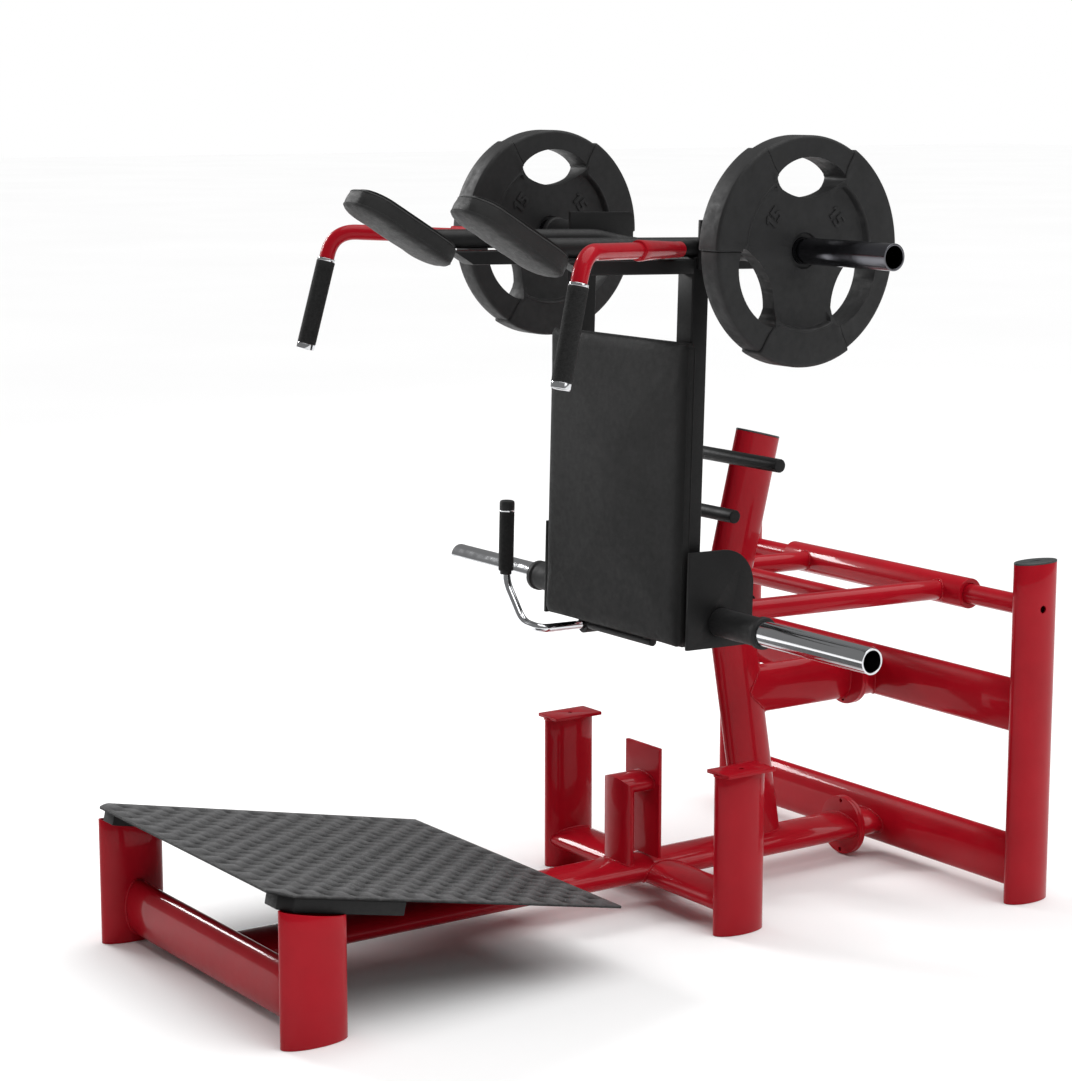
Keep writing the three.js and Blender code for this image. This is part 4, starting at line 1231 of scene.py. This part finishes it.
def sky():
    """A white background that the camera sees brighter than it lights the object."""
    world = bpy.data.worlds.new("studio")
    scene.world = world
    world.use_nodes = True
    nodes, links = world.node_tree.nodes, world.node_tree.links
    nodes.clear()
    out = nodes.new("ShaderNodeOutputWorld")
    ray = nodes.new("ShaderNodeLightPath")
    mix = nodes.new("ShaderNodeMixShader")
    links.new(ray.outputs["Is Camera Ray"], mix.inputs[0])
    for i, strength in ((1, 0.2), (2, 1.0)):
        light = nodes.new("ShaderNodeBackground")
        light.inputs[0].default_value = (1, 1, 1, 1)
        light.inputs[1].default_value = strength
        links.new(light.outputs[0], mix.inputs[i])
    links.new(mix.outputs[0], out.inputs[0])


def lamps():
    sun = bpy.data.lights.new("sky", "SUN")
    sun.energy = 3.05
    sun.angle = math.radians(75)
    lamp = bpy.data.objects.new("sky", sun)
    lamp.rotation_euler = (math.radians(-14), math.radians(10), 0)
    scene.collection.objects.link(lamp)
    # The window stands on the far side, where the tops of the tubes across the machine mirror it
    # as a pale streak. The other lamp lights the near side.
    for name, place, target, side, width, height, power in (
        ("window", (-4.9, -1.6, 3.15), (0, 0, 0.3), (0, 0.878, 0.478), 2.6, 0.6, 190),
        ("side", (5.0, 1.5, 2.7), (0, 0, 0.7), (0, 1, 0), 2.6, 2.2, 22),
    ):
        lamp = bpy.data.lights.new(name, "AREA")
        lamp.shape = "RECTANGLE"
        lamp.size = width
        lamp.size_y = height
        lamp.energy = power
        ob = bpy.data.objects.new(name, lamp)
        back = (Vector(place) - Vector(target)).normalized()
        up = back.cross(Vector(side)).normalized()
        across = up.cross(back)
        turn = Matrix((across, up, back)).transposed().to_4x4()
        ob.matrix_world = Matrix.Translation(place) @ turn
        scene.collection.objects.link(ob)


def camera():
    """The photograph's viewpoint, solved from the symmetric frame and the level floor."""
    view = bpy.data.cameras.new("camera")
    view.lens = 87.62
    view.sensor_width = 36
    view.sensor_fit = "AUTO"
    eye = bpy.data.objects.new("camera", view)
    eye.location = (4.2172, -3.0022, 1.650)
    eye.rotation_euler = (math.radians(80.35), 0, math.radians(55.3))
    scene.collection.objects.link(eye)
    scene.camera = eye
    scene.view_settings.view_transform = "Standard"
    scene.view_settings.look = "None"


pale_floor()
sky()
lamps()
camera()
rear_frame()
spine()
middle_frame()
stop_stub()
column()
catch_pegs()
platform()
swing_arms()
carriage_frame()
shoulder_arms()
pads()
horns()
handles()
catch_lever()
plain_parts()
weight_plates()
fixed("base_welds", *BASE_BEADS, angle=80)
carried("carriage_welds", RED, *CARRIAGE_BEADS, angle=80)
